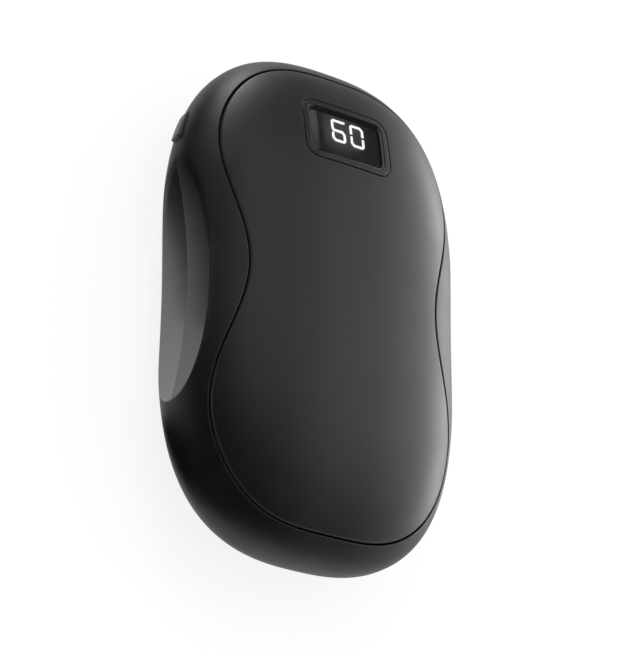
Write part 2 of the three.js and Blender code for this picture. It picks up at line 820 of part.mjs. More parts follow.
// A glass bead against the film and its stem down to the board
function thermistorGeometry(stem_length) {
  const profile = [[0, 0], [bead_stem_radius, 0]];
  const centre = stem_length - bead_radius;
  const start = -Math.acos(bead_stem_radius / bead_radius);
  for (let step = 0; step <= bead_steps; step += 1) {
    const angle = start + (step / bead_steps) * (quarter_turn - start);
    const radius = step === bead_steps ? 0 : bead_radius * Math.cos(angle);
    profile.push([radius, centre + bead_radius * Math.sin(angle)]);
  }
  const points = profile.map(([r, z]) => new THREE.Vector2(r, z));
  return new THREE.LatheGeometry(points, lead_sides).rotateX(quarter_turn);
}

// A flat ribbon drawn in side view and pushed out across its width
function ribbonGeometry() {
  const start = new THREE.Vector3(0, ribbon_start_y, -(display_board_top + board_thickness + ribbon_lift));
  start.applyMatrix4(window_frame);
  const foot_z = board_top + ribbon_thickness;
  const curve = new THREE.CatmullRomCurve3([
    start,
    new THREE.Vector3(0, start.y - ribbon_bend, start.z - ribbon_lift),
    new THREE.Vector3(0, ribbon_foot_y + ribbon_foot_length + ribbon_lift, foot_z + ribbon_lift),
    new THREE.Vector3(0, ribbon_foot_y + ribbon_foot_length, foot_z),
    new THREE.Vector3(0, ribbon_foot_y, foot_z),
  ]);
  const upper = [];
  const lower = [];
  curve.getSpacedPoints(ribbon_steps).forEach((point, step) => {
    const along = curve.getTangentAt(step / ribbon_steps).multiplyScalar(ribbon_thickness / 2);
    upper.push([point.y - along.z, point.z + along.y]);
    lower.unshift([point.y + along.z, point.z - along.y]);
  });
  const outline = upper.concat(lower).map(([y, z]) => new THREE.Vector2(y, z));
  const geometry = prismGeometry(outline, -ribbon_half_width, ribbon_half_width);
  const axes = new THREE.Matrix4().makeBasis(
    new THREE.Vector3(0, 1, 0),
    new THREE.Vector3(0, 0, 1),
    new THREE.Vector3(1, 0, 0),
  );
  return geometry.applyMatrix4(axes);
}

function addMesh(name, geometry, look, parent = part) {
  const mesh = new THREE.Mesh(geometry, look);
  mesh.name = name;
  parent.add(mesh);
  return mesh;
}

function addSolid(name, solid, look) {
  return addMesh(name, geometryOf(solid), look);
}

// A box that hangs under the main board
function addUnderBoard(name, [size_x, size_y, size_z], [x, y], look) {
  const mesh = addMesh(name, new THREE.BoxGeometry(size_x, size_y, size_z), look);
  mesh.position.set(x, y, board_bottom - size_z / 2);
}

function addCase() {
  addSolid('front_shell', frontShell(), looks.shell);
  addSolid('back_shell', backShell(), looks.shell);
  addSolid('front_panel', frontPanel(), looks.panel);
  addSolid('back_panel', panelSolid(back), looks.panel);
  addSolid('front_heater_film', frontFilm(), looks.film);
  addSolid('back_heater_film', heaterFilm(back), looks.film);
  [-boss_x, boss_x].forEach((x, column) => {
    [-boss_y, boss_y].forEach((y, row) => {
      const screw = addMesh(`case_screw_${2 * column + row + 1}`, screwGeometry(), looks.steel);
      screw.position.set(x, y, mid_z - screw_head_depth);
    });
  });
}

function addDisplay() {
  addSolid('display_bezel', displayBezel(), looks.ring);
  addSolid('display_lens', displayLens(), looks.lens);
  const stack = new THREE.Group();
  stack.position.copy(window_centre);
  stack.rotation.x = window_tilt;
  part.add(stack);
  const module_geometry = prismGeometry(moduleOutline(0), -bezel_bottom, -module_top);
  addMesh('display_module', module_geometry, looks.housing, stack);
  const board_margin = display_board_margin;
  const board_outline = boxOutline(ring_half_x + board_margin, ring_half_y + board_margin);
  const board_low = -(display_board_top + board_thickness);
  const board_geometry = prismGeometry(board_outline, board_low, -display_board_top);
  addMesh('display_board', board_geometry, looks.board, stack);
  const face = -module_top + touch_gap;
  const six = addMesh('lit_six', sixGeometry(), looks.digit, stack);
  six.position.set(digit_x - digit_pitch / 2, digit_y, face);
  [['lit_zero_upper', 1], ['lit_zero_lower', -1]].forEach(([name, side_y]) => {
    const half = addMesh(name, halfZeroGeometry(side_y), looks.digit, stack);
    half.position.set(digit_x + digit_pitch / 2, digit_y, face);
  });
  addMesh('display_ribbon', ribbonGeometry(), looks.film);
}

function addButton() {
  addSolid('power_button', powerButton(), looks.button);
  addSolid('button_switch', buttonSwitch(), looks.housing);
  addSolid('switch_plunger', switchPlunger(), looks.button);
}

function addBoard() {
  addSolid('main_board', mainBoard(), looks.board);
  addSolid('usb_socket_shell', socketShell(), looks.steel);
  addSolid('usb_socket_tongue', socketTongue(), looks.tongue);
  addUnderBoard('charger_chip', charger_size, charger_place, looks.chip);
  addUnderBoard('controller_chip', controller_size, controller_place, looks.chip);
  addUnderBoard('battery_socket', battery_socket_size, battery_socket_place, looks.connector);
  const coil_outline = roundedOutline(coil_size[0] / 2, coil_size[1] / 2, coil_corner);
  const coil = addMesh('power_coil', prismGeometry(coil_outline, -coil_size[2], 0), looks.ferrite);
  coil.position.set(coil_place[0], coil_place[1], board_bottom);
}

function addBattery() {
  const middle_y = (cell_high_y + cell_low_y) / 2;
  const outline = roundedOutline(cell_half_width, (cell_high_y - cell_low_y) / 2, cell_corner);
  const cell_geometry = prismGeometry(outline, -cell_half_thickness, cell_half_thickness);
  const cell = addMesh('battery_cell', cell_geometry, looks.pouch);
  cell.position.set(0, middle_y, mid_z);
  const pad_outline = roundedOutline(pad_half_width, pad_half_length, pad_corner);
  [['battery_foam_front', cell_half_thickness], ['battery_foam_back', -cell_half_thickness - foam_thickness]]
    .forEach(([name, low]) => {
      const foam = addMesh(name, prismGeometry(pad_outline, low, low + foam_thickness), looks.foam);
      foam.position.set(0, middle_y, mid_z);
    });
  const guard_size = [2 * guard_half_width, guard_thickness, 2 * guard_half_height];
  const guard = addMesh('cell_guard_board', new THREE.BoxGeometry(...guard_size), looks.board);
  guard.position.set(0, cell_high_y + guard_thickness / 2, mid_z);
  addMesh('battery_lead_red', batteryLead(-lead_spread), looks.red_lead);
  addMesh('battery_lead_black', batteryLead(lead_spread), looks.black_lead);
}

// Leads rise from the board to the front film on the right, and drop to the back film on the left
function addLeads() {
  [-1, 1].forEach((side, index) => {
    const reach = slot_x + side * lead_spread;
    const depth = domeHeight(reach + lead_radius, slot_y, floor_inset) - 2 * lead_gap;
    const letter = ['a', 'b'][index];
    const y = slot_y - lead_spread;
    const rising = risingLead(reach, y, board_top, mid_z + depth);
    const dropping = risingLead(-reach, y, mid_z - depth, board_bottom);
    addMesh(`front_heater_lead_${letter}`, rising, looks.white_lead);
    addMesh(`back_heater_lead_${letter}`, dropping, looks.white_lead);
  });
  const bead_reach = domeHeight(slot_x + bead_radius, bead_y, floor_inset) - lead_gap;
  const front_bead = thermistorGeometry(mid_z + bead_reach - board_top);
  addMesh('front_thermistor', front_bead, looks.black_lead).position.set(slot_x, bead_y, board_top);
  const back_bead = thermistorGeometry(board_bottom - mid_z + bead_reach).rotateX(2 * quarter_turn);
  addMesh('back_thermistor', back_bead, looks.black_lead).position.set(-slot_x, bead_y, board_bottom);
}

addCase();
addDisplay();
addButton();
addBoard();
addBattery();
addLeads();

export default part;
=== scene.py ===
"""Looks of a rechargeable hand warmer: a waisted pebble with heated panels, a lit readout and grip scoops.

The body lies on its back. Seen from the front, +X is its right side, +Y its display end, and +Z comes out
of it. Sizes are in millimetres, heights are counted from the plane where the two shells meet, and both
turn into Blender's metres, on the frame's own axes, when a mesh is made.
"""

import logging
import math
from collections.abc import Callable
from dataclasses import dataclass, replace
from enum import Enum
from functools import cache
from typing import TypeAlias

import bmesh
import bpy
import numpy as np
from mathutils import Matrix, Vector


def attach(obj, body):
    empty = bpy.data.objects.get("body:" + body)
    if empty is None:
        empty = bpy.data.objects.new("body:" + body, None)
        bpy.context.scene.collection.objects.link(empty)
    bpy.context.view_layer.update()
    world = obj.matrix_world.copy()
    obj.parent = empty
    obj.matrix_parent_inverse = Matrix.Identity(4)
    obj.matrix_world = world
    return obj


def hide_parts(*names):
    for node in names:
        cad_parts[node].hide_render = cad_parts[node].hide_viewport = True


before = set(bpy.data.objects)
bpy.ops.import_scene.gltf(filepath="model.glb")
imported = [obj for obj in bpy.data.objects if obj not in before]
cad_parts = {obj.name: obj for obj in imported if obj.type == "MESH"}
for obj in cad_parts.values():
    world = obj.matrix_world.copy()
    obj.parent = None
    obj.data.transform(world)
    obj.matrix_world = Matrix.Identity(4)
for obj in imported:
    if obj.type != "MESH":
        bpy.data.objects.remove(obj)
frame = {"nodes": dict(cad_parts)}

log = logging.getLogger("hand_warmer")

Array: TypeAlias = np.ndarray
Piece: TypeAlias = bpy.types.Object
Pair: TypeAlias = tuple[float, float]
Triple: TypeAlias = tuple[float, float, float]
Row: TypeAlias = tuple[Array, float]

MM = 0.001
HALVINGS = 44
WELD = 0.0004
SHARP_FROM = 48.0
ARC_STEPS = 5
CORNER_POINTS = 33
NOTCH_POINTS = 25
LAND_LOW, LAND_HIGH = -12.0, 6.0
CASE = "case"
BUTTON = "button"


class Side(Enum):
    """The half of the body that a piece belongs to, as the sign of its height."""

    FRONT = 1
    BACK = -1


def eased(steps: int, pull: float = 0.85) -> Array:
    """Shares s from 0 to 1, crowded at both ends: s - pull * sin(2 pi s) / (2 pi)."""
    share = np.linspace(0.0, 1.0, steps + 1)
    return share - pull * np.sin(2 * np.pi * share) / (2 * np.pi)


def smooth_step(value: Array, low: Array | float, high: Array | float) -> Array:
    """Rises from 0 at low to 1 at high: 3 t^2 - 2 t^3, where t is the clamped share of the way."""
    t = np.clip((value - low) / (high - low), 0.0, 1.0)
    return t * t * (3 - 2 * t)


def soft_min(a: Array, b: Array | float, blend: Array | float) -> Array:
    """The smaller of two values, less (blend - |a - b|)^2 / (4 blend) where they are closer than that."""
    near = np.maximum(blend - np.abs(a - b), 0.0)
    return np.minimum(a, b) - near * near / (4 * blend)


def halve(low: Array, high: Array, holds: Callable[[Array], Array]) -> Array:
    """Finds by halving where a test stops holding.

    Args:
        low: Values at which it holds.
        high: Values at which it doesn't.
        holds: The test.

    Returns:
        The last values at which it holds.
    """
    for _ in range(HALVINGS):
        middle = (low + high) / 2
        held = holds(middle)
        low = np.where(held, middle, low)
        high = np.where(held, high, middle)
    return low


def polar(reach: Array, angle: Array) -> tuple[Array, Array]:
    """The level place at a distance from the upright axis, in a direction."""
    return reach * np.cos(angle), reach * np.sin(angle)


def unit(ways: Array) -> Array:
    """Directions, made one long."""
    return ways / np.linalg.norm(ways, axis=1, keepdims=True)


def arc_length(points: Array) -> Array:
    """The distance run along a line at each of its points."""
    return np.concatenate([[0.0], np.cumsum(np.linalg.norm(np.diff(points, axis=0), axis=1))])


def along_line(points: Array, shares: Array) -> Array:
    """Places on a flat line at shares of its length."""
    run = arc_length(points)
    return np.stack([np.interp(shares * run[-1], run, column) for column in points.T], axis=1)


def even_loop(points: Array, count: int) -> Array:
    """A closed line's points, spread evenly along it from its first one on."""
    return along_line(np.vstack([points, points[:1]]), np.arange(count) / count)


def loop_normals(points: Array) -> Array:
    """Normals out of an anticlockwise closed line, square to the chord between a point's neighbours."""
    along = unit(np.roll(points, -1, axis=0) - np.roll(points, 1, axis=0))
    return np.stack([along[:, 1], -along[:, 0]], axis=1)


def rounded_box(half_x: float, half_y: float, corners: tuple[float, ...], count: int) -> Array:
    """A rounded oblong, anticlockwise from the middle of its right side.

    Args:
        half_x: Half width.
        half_y: Half height.
        corners: Radii of the four corners, from the upper right one anticlockwise.
        count: Number of points.

    Returns:
        Points at equal arc lengths along straight sides and quarter circles.
    """
    pieces = [np.array([[half_x, 0.0]])]
    turn = np.linspace(0.0, 1.0, CORNER_POINTS)
    for index, (sign, radius) in enumerate(zip(((1, 1), (-1, 1), (-1, -1), (1, -1)), corners)):
        centre = np.array([sign[0] * (half_x - radius), sign[1] * (half_y - radius)])
        pieces.append(centre + np.stack(polar(radius, (index + turn) * np.pi / 2), axis=1))
    return even_loop(np.vstack(pieces), count)


def notch_outline(half: float, depth: float, radius: float) -> Array:
    """The outline of a notch with two rounded corners.

    Args:
        half: Half width.
        depth: Depth from the parting plane.
        radius: Radius of the two far corners.

    Returns:
        Dense points from the left end, round the notch, to the right end.
    """
    cosine, sine = polar(radius, np.linspace(0.0, np.pi / 2, NOTCH_POINTS))
    left = np.stack([radius - half - cosine, depth - radius + sine], axis=1)
    right = np.stack([half - radius + sine, depth - radius + cosine], axis=1)
    return np.vstack([[[-half, 0.0]], left, right, [[half, 0.0]]])


def round_over(radius: float, steps: int = ARC_STEPS) -> list[Pair]:
    """A quarter circle over an edge, face to wall, as distances from the wall and drops below the face."""
    angles = np.linspace(0.0, np.pi / 2, steps + 1)
    return [(radius * (1 - math.sin(angle)), radius * (1 - math.cos(angle))) for angle in angles]


def lip(radius: float, width: float, rows: int = 2) -> list[Pair]:
    """A rim's profile over its rounded outer edge, across it and over its inner edge, as offsets and drops.

    Args:
        radius: Radius of both edges.
        width: Width of the rim.
        rows: Number of rows across it, with the two at the edges.

    Returns:
        Offsets of the outline and drops below the face.
    """
    arc = round_over(radius)
    across = np.linspace(radius, width - radius, rows)[1:-1]
    outer = [(-gap, drop) for gap, drop in reversed(arc)]
    return outer + [(-offset, 0.0) for offset in across] + [(gap - width, drop) for gap, drop in arc]


def quads_of(index: Array) -> Array:
    """The corners of each quad of a grid of point numbers."""
    return np.stack([index[:-1, :-1], index[:-1, 1:], index[1:, 1:], index[1:, :-1]], axis=-1)


def stacked(rows: list[Row]) -> tuple[Array, Array]:
    """Rows as one grid, and their wear, one value for each row."""
    return np.stack([row for row, _ in rows]), np.array([[wear] for _, wear in rows])


def add_object(name: str, data: bpy.types.ID) -> Piece:
    """Links a new object at the origin into the scene.

    Args:
        name: Its name.
        data: Its mesh, lamp or camera.

    Returns:
        The object.
    """
    made = bpy.data.objects.new(name, data)
    bpy.context.scene.collection.objects.link(made)
    return made


def add_mesh(name: str, points: Array, faces: Array) -> Piece:
    """Makes a mesh in metres and its object.

    Args:
        name: Their name.
        points: The points.
        faces: The corners of each face.

    Returns:
        The object.
    """
    mesh = bpy.data.meshes.new(name)
    mesh.from_pydata(points.tolist(), [], faces.tolist())
    return add_object(name, mesh)


@dataclass(frozen=True)
class Pebble:
    """The case's outer form, which every outer piece follows.

    A point is on the dome where |x / w|^p + |y / l|^q + |z / d|^r = 1. An inset draws w, l and d in alike.
    """

    half_width: float = 31.2
    half_length: float = 50.0
    half_depth: float = 13.9
    width_power: float = 2.637
    length_power: float = 3.372
    depth_power: float = 2.34
    rest_cut: float = 0.5
    panel_side_inset: float = 0.08
    panel_end_inset: float = 4.36
    panel_side_power: float = 3.1
    panel_end_power: float = 2.187
    panel_waist_share: float = 0.325
    panel_waist_spread: float = 20.23
    panel_waist_y: float = 1.3
    outline_density: int = 40
    scoop_side_inset: float = 0.87
    scoop_end_inset: float = 26.3
    scoop_low_reach: float = 0.8
    scoop_depth: float = 3.16
    scoop_y: float = -0.6
    scoop_slope: float = 0.045
    scoop_slope_change: float = 0.029
    scoop_span: float = 1.3
    least_cosine: float = 0.2
    crisp_edge: float = 0.1
    soft_edge: float = 1.0
    soft_from_y: float = -2.0
    soft_to_y: float = 22.0

    @property
    def mid_z(self) -> float:
        """Height of the parting plane above the flat that the body rests on."""
        return self.half_depth - self.rest_cut

    def fill(self, x: Array, y: Array, z: Array | float, inset: Array | float = 0.0) -> Array:
        """The dome's sum of powers, which is 1 on its surface and less inside it."""
        return (np.abs(x / (self.half_width - inset)) ** self.width_power
                + np.abs(y / (self.half_length - inset)) ** self.length_power
                + np.abs(z / (self.half_depth - inset)) ** self.depth_power)

    def height(self, level: Array, inset: float = 0.0) -> Array:
        """Height of the dome over level places: the depth times what the sum leaves, to the power 1 / r."""
        left = np.maximum(1 - self.fill(*level.T, 0.0, inset), 0.0)
        return (self.half_depth - inset) * left ** (1 / self.depth_power)

    def raised(self, level: Array, drop: float = 0.0, inset: float = 0.0) -> Array:
        """Points of the dome over level places, or a drop below it."""
        return np.column_stack([level, self.height(level, inset) - drop])

    def softness(self, y: Array) -> Array:
        """How soft a scoop's edge is: 0 at its lower end and 1 at its upper one."""
        return smooth_step(y, self.soft_from_y, self.soft_to_y)

    def edge_blend(self, y: Array) -> Array:
        """Over what difference dome and facet are blended at a scoop's edge."""
        return self.crisp_edge + (self.soft_edge - self.crisp_edge) * self.softness(y)

    def dome_reach(self, angle: Array, z: Array, inset: Array | float) -> Array:
        """Distance from the body's upright axis to the dome, found by halving."""
        far = np.full_like(z, self.half_length + self.half_width)
        return halve(np.zeros_like(z), far, lambda reach: self.fill(*polar(reach, angle), z, inset) < 1)

    def scoop_reach(self, angle: Array, z: Array, inset: Array | float) -> Array:
        """Distance from the upright axis to the facets of a side scoop, found by repeated substitution.

        The facets' half width is reach - depth (1 - u^2) + slope |z|, where u is the share along the scoop,
        whose lower half reaches a little further.

        Args:
            angle: Level directions.
            z: Heights, of the same shape.
            inset: How far the facets are drawn in.

        Returns:
            The distances, and a very large one where the direction misses the scoops.
        """
        start = self.dome_reach(angle, z, inset)
        reach = start
        across = np.maximum(np.abs(np.cos(angle)), self.least_cosine)
        length = self.half_length - self.scoop_end_inset
        for _ in range(HALVINGS):
            offset = reach * np.sin(angle) - self.scoop_y
            share = offset / np.where(offset < 0, length + self.scoop_low_reach, length)
            share = np.clip(share, -self.scoop_span, self.scoop_span)
            crease = self.half_width - self.scoop_side_inset - self.scoop_depth * (1 - share * share)
            slope = self.scoop_slope + self.scoop_slope_change * share
            reach = (crease - inset + slope * np.abs(z)) / across
        far = np.abs(start * np.sin(angle) - self.scoop_y) > self.scoop_span * length
        return np.where(far, 10 * self.half_length, reach)

    def reach(self, angle: Array, z: Array, inset: Array | float) -> Array:
        """Distance from the upright axis to the body: the smaller of dome and facets, with a rounded edge."""
        dome = self.dome_reach(angle, z, inset)
        return soft_min(dome, self.scoop_reach(angle, z, inset), self.edge_blend(dome * np.sin(angle)))

    def bitten(self, angle: Array, z: Array, inset: float) -> Array:
        """Whether a scoop bites into the dome."""
        return self.dome_reach(angle, z, inset) > self.scoop_reach(angle, z, inset)

    def scoop_edge(self, angle: Array, inset: float) -> Array:
        """Height at which a scoop's facet runs out into the dome, found by halving.

        Args:
            angle: Level directions.
            inset: How far the body is drawn in.

        Returns:
            The heights, 0 where no scoop is.
        """
        rim = np.zeros_like(angle)
        top = np.full_like(angle, self.half_depth - inset)
        edge = halve(rim, top, lambda z: self.bitten(angle, z, inset))
        return np.where(self.bitten(angle, rim, inset), edge, 0.0)

    def outline(self, count: int, offset: float = 0.0) -> Array:
        """The heated panel's outline, a superellipse drawn in at the waist by a bell curve.

        Args:
            count: Number of points.
            offset: How far outwards the line is moved.

        Returns:
            Points at equal arc lengths, anticlockwise from the waist's right side.
        """
        turn = np.linspace(0.0, 2 * np.pi, self.outline_density * count, endpoint=False)
        sine, cosine = np.sin(turn), np.cos(turn)
        end = self.half_length - self.panel_end_inset
        side = self.half_width - self.panel_side_inset
        y = end * np.sign(sine) * np.abs(sine) ** (2 / self.panel_end_power)
        waist = np.exp(-(((y - self.panel_waist_y) / self.panel_waist_spread) ** 2))
        x = side * np.sign(cosine) * np.abs(cosine) ** (2 / self.panel_side_power)
        even = even_loop(np.stack([x * (1 - self.panel_waist_share * waist), y], axis=1), count)
        return even + offset * loop_normals(even)


PEBBLE = Pebble()


@dataclass(frozen=True)
class Place:
    """A local frame on the body: its middle, two directions in its face, and the direction out of it."""

    middle: Triple
    along: Triple
    up: Triple
    out: Triple

    def point(self, flat: Array, rise: Array | float) -> Array:
        """Points at places in the face, as along and up, and at rises over it."""
        rise = np.broadcast_to(rise, flat.shape[:-1])[..., None]
        return self.middle + flat[..., :1] * self.along + flat[..., 1:2] * self.up + rise * self.out

    def flatten(self, points: Array) -> Array:
        """Points as places along, up and out of the face."""
        return (points - self.middle) @ np.transpose([self.along, self.up, self.out])

    def land(self, flat: Array, inset: float = 0.0) -> Array:
        """Rise at which a line out of the face meets the dome, found by halving."""
        low, high = (np.full(len(flat), end) for end in (LAND_LOW, LAND_HIGH))
        return halve(low, high, lambda rise: PEBBLE.fill(*self.point(flat, rise).T, inset) < 1)

    def over_dome(self, flat: Array, rise: float = 0.0, inset: float = 0.0) -> Array:
        """Points at a rise over the dome, or under it where the rise is negative."""
        return self.point(flat, self.land(flat, inset) + rise)


class Quilt:
    """Patches of quads that are sewn into one closed mesh."""

    def __init__(self, rows: list[Row] | None = None) -> None:
        """Starts empty, or with one closed patch.

        Args:
            rows: The patch's rows, if there is one.
        """
        self.patches: list[tuple[Array, Array, Array]] = []
        self.quads: list[Array] = []
        self.total = 0
        if rows:
            self.sheet(*stacked(rows), ring=True)

    def sheet(self, grid: Array, wear: Array | float = 0.0, ring: bool = False, keep: Array | None = None,
              zone: Array | float = 0.0) -> None:
        """Adds a grid of quads.

        Args:
            grid: Points in millimetres, as rows by columns by 3.
            wear: Edge wear at each point, from 0 to 1.
            ring: Whether the last column meets the first.
            keep: Which quads are made, as rows - 1 by the number of column gaps.
            zone: 1 in the zone that the finish treats apart, such as a scoop's facets, and 0 elsewhere.
        """
        rows, columns = grid.shape[:2]
        index = self.total + np.arange(rows * columns).reshape(rows, columns)
        quads = quads_of(np.hstack([index, index[:, :1]]) if ring else index)
        self.quads.append(quads.reshape(-1, 4) if keep is None else quads[keep])
        layers = [np.broadcast_to(layer, grid.shape[:2]).reshape(-1) for layer in (wear, zone)]
        self.patches.append((grid.reshape(-1, 3), *layers))
        self.total += rows * columns

    def sew(self, name: str, finish: "Finish", node: str | None, body: str = CASE,
            side: Side = Side.FRONT) -> None:
        """Makes the piece and dresses it: joins points that meet, drops loose ones, turns the faces outwards.

        Args:
            name: Name of the piece.
            finish: Its finish.
            node: The CAD node that it replaces, if it does.
            body: The body that it rides.
            side: Half of the case; the back one is the front one turned over.
        """
        points, *layers = (np.concatenate(part) for part in zip(*self.patches))
        points = points * MM
        points[:, 2] = points[:, 2] * side.value + PEBBLE.mid_z * MM
        piece = add_mesh(name, points, np.vstack(self.quads))
        mesh = piece.data
        for layer, values in zip(("wear", "zone"), layers):
            mesh.attributes.new(layer, "FLOAT", "POINT")
            mesh.attributes[layer].data.foreach_set("value", values.astype(np.float32))
        work = bmesh.new()
        work.from_mesh(mesh)
        bmesh.ops.remove_doubles(work, verts=work.verts, dist=WELD * MM)
        loose = [vertex for vertex in work.verts if not vertex.link_faces]
        bmesh.ops.delete(work, geom=loose, context="VERTS")
        bmesh.ops.recalc_face_normals(work, faces=work.faces)
        open_edges = sum(1 for edge in work.edges if not edge.is_manifold)
        work.to_mesh(mesh)
        work.free()
        mesh.polygons.foreach_set("use_smooth", np.ones(len(mesh.polygons), dtype=bool))
        mesh.set_sharp_from_angle(angle=math.radians(SHARP_FROM))
        mesh.update()
        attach(piece, body)
        if node:
            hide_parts(node)
        finish.dress(piece)
        log.info("%s: %d faces, %d open edges, in %s", name, len(mesh.polygons), open_edges, finish.name)


@dataclass(frozen=True)
class Opening:
    """A hole through a shell's rim, open towards the parting plane.

    Its outline runs round the hole from one end on the parting plane to the other, in the place's face.
    """

    place: Place
    outline: Array
    block_half: float
    block_height: float
    edge_radius: float


@dataclass
class Shell:
    """One half of the case: its skin, seam groove, ledge, rim and inner wall."""

    side: Side
    node: str
    finish: "Finish"
    openings: list[Opening]
    seam_gap: float = 0.35
    seam_radius: float = 0.22
    seam_depth: float = 1.9
    floor_thickness: float = 1.6
    ledge_width: float = 3.0
    wall: float = 2.0
    columns: int = 640
    upper_rows: int = 40
    facet_rows: int = 14
    patch_rows: int = 10
    patch_pull: float = 1.5
    inner_radius_share: float = 0.1
    edge_glow: float = 0.35
    bare_band: float = 1.8
    bare_blend: float = 0.05

    def skin(self, top: Array, inset: float, deepening: float) -> tuple[Array, Array, Array]:
        """One skin of the wall, from the parting plane to the panel's seam.

        Each column is a level direction. Its rows climb the scoop's facet first, and then the dome, and each
        point stands at the body's reach in that direction and at that height.

        Args:
            top: The skin's upper line, as level places.
            inset: How far the skin is drawn in at the parting plane.
            deepening: How much further it is drawn in at its upper line.

        Returns:
            The skin's points, their edge wear, and 1 on the scoops' facets.
        """
        angle = np.arctan2(top[:, 1], top[:, 0])
        high = PEBBLE.height(top, inset + deepening)
        edge = PEBBLE.scoop_edge(angle, inset)
        z = np.vstack([edge * eased(self.facet_rows)[:, None],
                       edge + (high - edge) * eased(self.upper_rows)[1:, None]])
        angles = np.broadcast_to(angle, z.shape)
        reach = PEBBLE.reach(angles, z, inset + deepening * z / high)
        grid = np.stack([*polar(reach, angles), z], axis=-1)
        softness = PEBBLE.softness(grid[..., 1])
        keen = (1 - softness) * np.exp(-(((z - edge) / self.edge_glow) ** 2))
        bare = smooth_step(z, edge - self.bare_band * softness - self.bare_blend, edge + self.bare_blend)
        bitten = edge > self.edge_glow
        return grid, np.where(bitten, keen, 0.0), np.where(bitten, 1 - bare, 0.0)

    def block_of(self, opening: Opening, grid: Array) -> tuple[int, int, int]:
        """Finds the columns and rows of the skin that an opening's patch takes the place of.

        Args:
            opening: The opening.
            grid: The skin's points.

        Returns:
            First column, last column and upper row.
        """
        along, _, outwards = np.abs(opening.place.flatten(grid[self.facet_rows])).T
        inside = np.flatnonzero((along < opening.block_half) & (outwards < PEBBLE.half_depth))
        middle = grid[self.facet_rows:, (inside[0] + inside[-1]) // 2, 2]
        row = self.facet_rows + int(np.argmin(np.abs(middle - opening.block_height)))
        return int(inside[0]), int(inside[-1]), row

    def patch(self, opening: Opening, grid: Array, block: tuple[int, int, int], inset: float,
              radius: float) -> tuple[Array, Array]:
        """Fills a block of the skin round an opening, between the hole's outline and the block's border.

        Rows near the hole are its outline moved outwards over a rounded edge; the others run in straight
        lines, in the face, to the border.

        Args:
            opening: The opening.
            grid: The skin's points.
            block: First column, last column and upper row of the block.
            inset: How far the skin is drawn in.
            radius: Radius of the hole's edge.

        Returns:
            The patch's points, from the hole outwards, and their edge wear.
        """
        first, last, row = block
        left, right = (grid[self.facet_rows:row + 1, column] for column in (first, last))
        border = np.vstack([left, grid[row, first + 1:last], right[::-1]])
        place = opening.place
        flat = place.flatten(border)[:, :2]
        run = arc_length(flat)
        hole = along_line(opening.outline, run / run[-1])
        along = unit(np.gradient(hole, axis=0))
        away = np.stack([-along[:, 1], along[:, 0]], axis=1)
        away[[0, -1]] = ((-1.0, 0.0), (1.0, 0.0))
        start = hole + radius * away
        shares = np.linspace(0.0, 1.0, self.patch_rows + 1)[1:-1] ** self.patch_pull
        rows = [(place.over_dome(hole + gap * away, -drop, inset), 1.0)
                for gap, drop in reversed(round_over(radius))]
        rows += [(place.over_dome(start + (flat - start) * share, 0.0, inset), 0.0) for share in shares]
        return stacked(rows + [(border, 0.0)])

    def seam(self, top: Array, end: Array) -> list[Row]:
        """The rounded edge of the seam, its wall, the ledge under the panel and the ledge's inner side.

        Args:
            top: The outer skin's upper row.
            end: The inner skin's upper row.

        Returns:
            The rows.
        """
        rows = [(top, 1.0)]
        for gap, drop in round_over(self.seam_radius)[1:]:
            rows.append((PEBBLE.raised(PEBBLE.outline(self.columns, self.seam_gap + gap), drop), 1.0))
        for offset in (self.seam_gap, -self.ledge_width):
            level = PEBBLE.outline(self.columns, offset)
            rows.append((PEBBLE.raised(level, inset=self.seam_depth), 0.0))
        return rows + [(end, 0.0)]

    def build(self) -> None:
        """Sews the skins, the seam and the rim."""
        quilt = Quilt()
        top = PEBBLE.outline(self.columns, self.seam_gap + self.seam_radius)
        outer, wear, scoop = self.skin(top, 0.0, 0.0)
        deepening = self.seam_depth + self.floor_thickness - self.wall
        inner, _, _ = self.skin(PEBBLE.outline(self.columns, -self.ledge_width), self.wall, deepening)
        keep = np.ones((outer.shape[0] - 1, self.columns), dtype=bool)
        for opening in self.openings:
            block = self.block_of(opening, outer)
            keep[:block[2], block[0]:block[1]] = False
            radius = opening.edge_radius
            near, near_wear = self.patch(opening, outer, block, 0.0, radius)
            far, _ = self.patch(opening, inner, block, self.wall, radius * self.inner_radius_share)
            quilt.sheet(near, near_wear)
            quilt.sheet(far)
            for strip in ((near[0], far[0]), (near[:, 0], far[:, 0]), (near[:, -1], far[:, -1])):
                quilt.sheet(np.stack(strip))
        quilt.sheet(outer, wear, ring=True, keep=keep, zone=scoop)
        quilt.sheet(inner, ring=True, keep=keep)
        quilt.sheet(np.stack([outer[0], inner[0]]), ring=True, keep=keep[:1])
        quilt.sheet(*stacked(self.seam(outer[-1], inner[-1])), ring=True)
        quilt.sew(self.node + "_skin", self.finish, self.node, side=self.side)


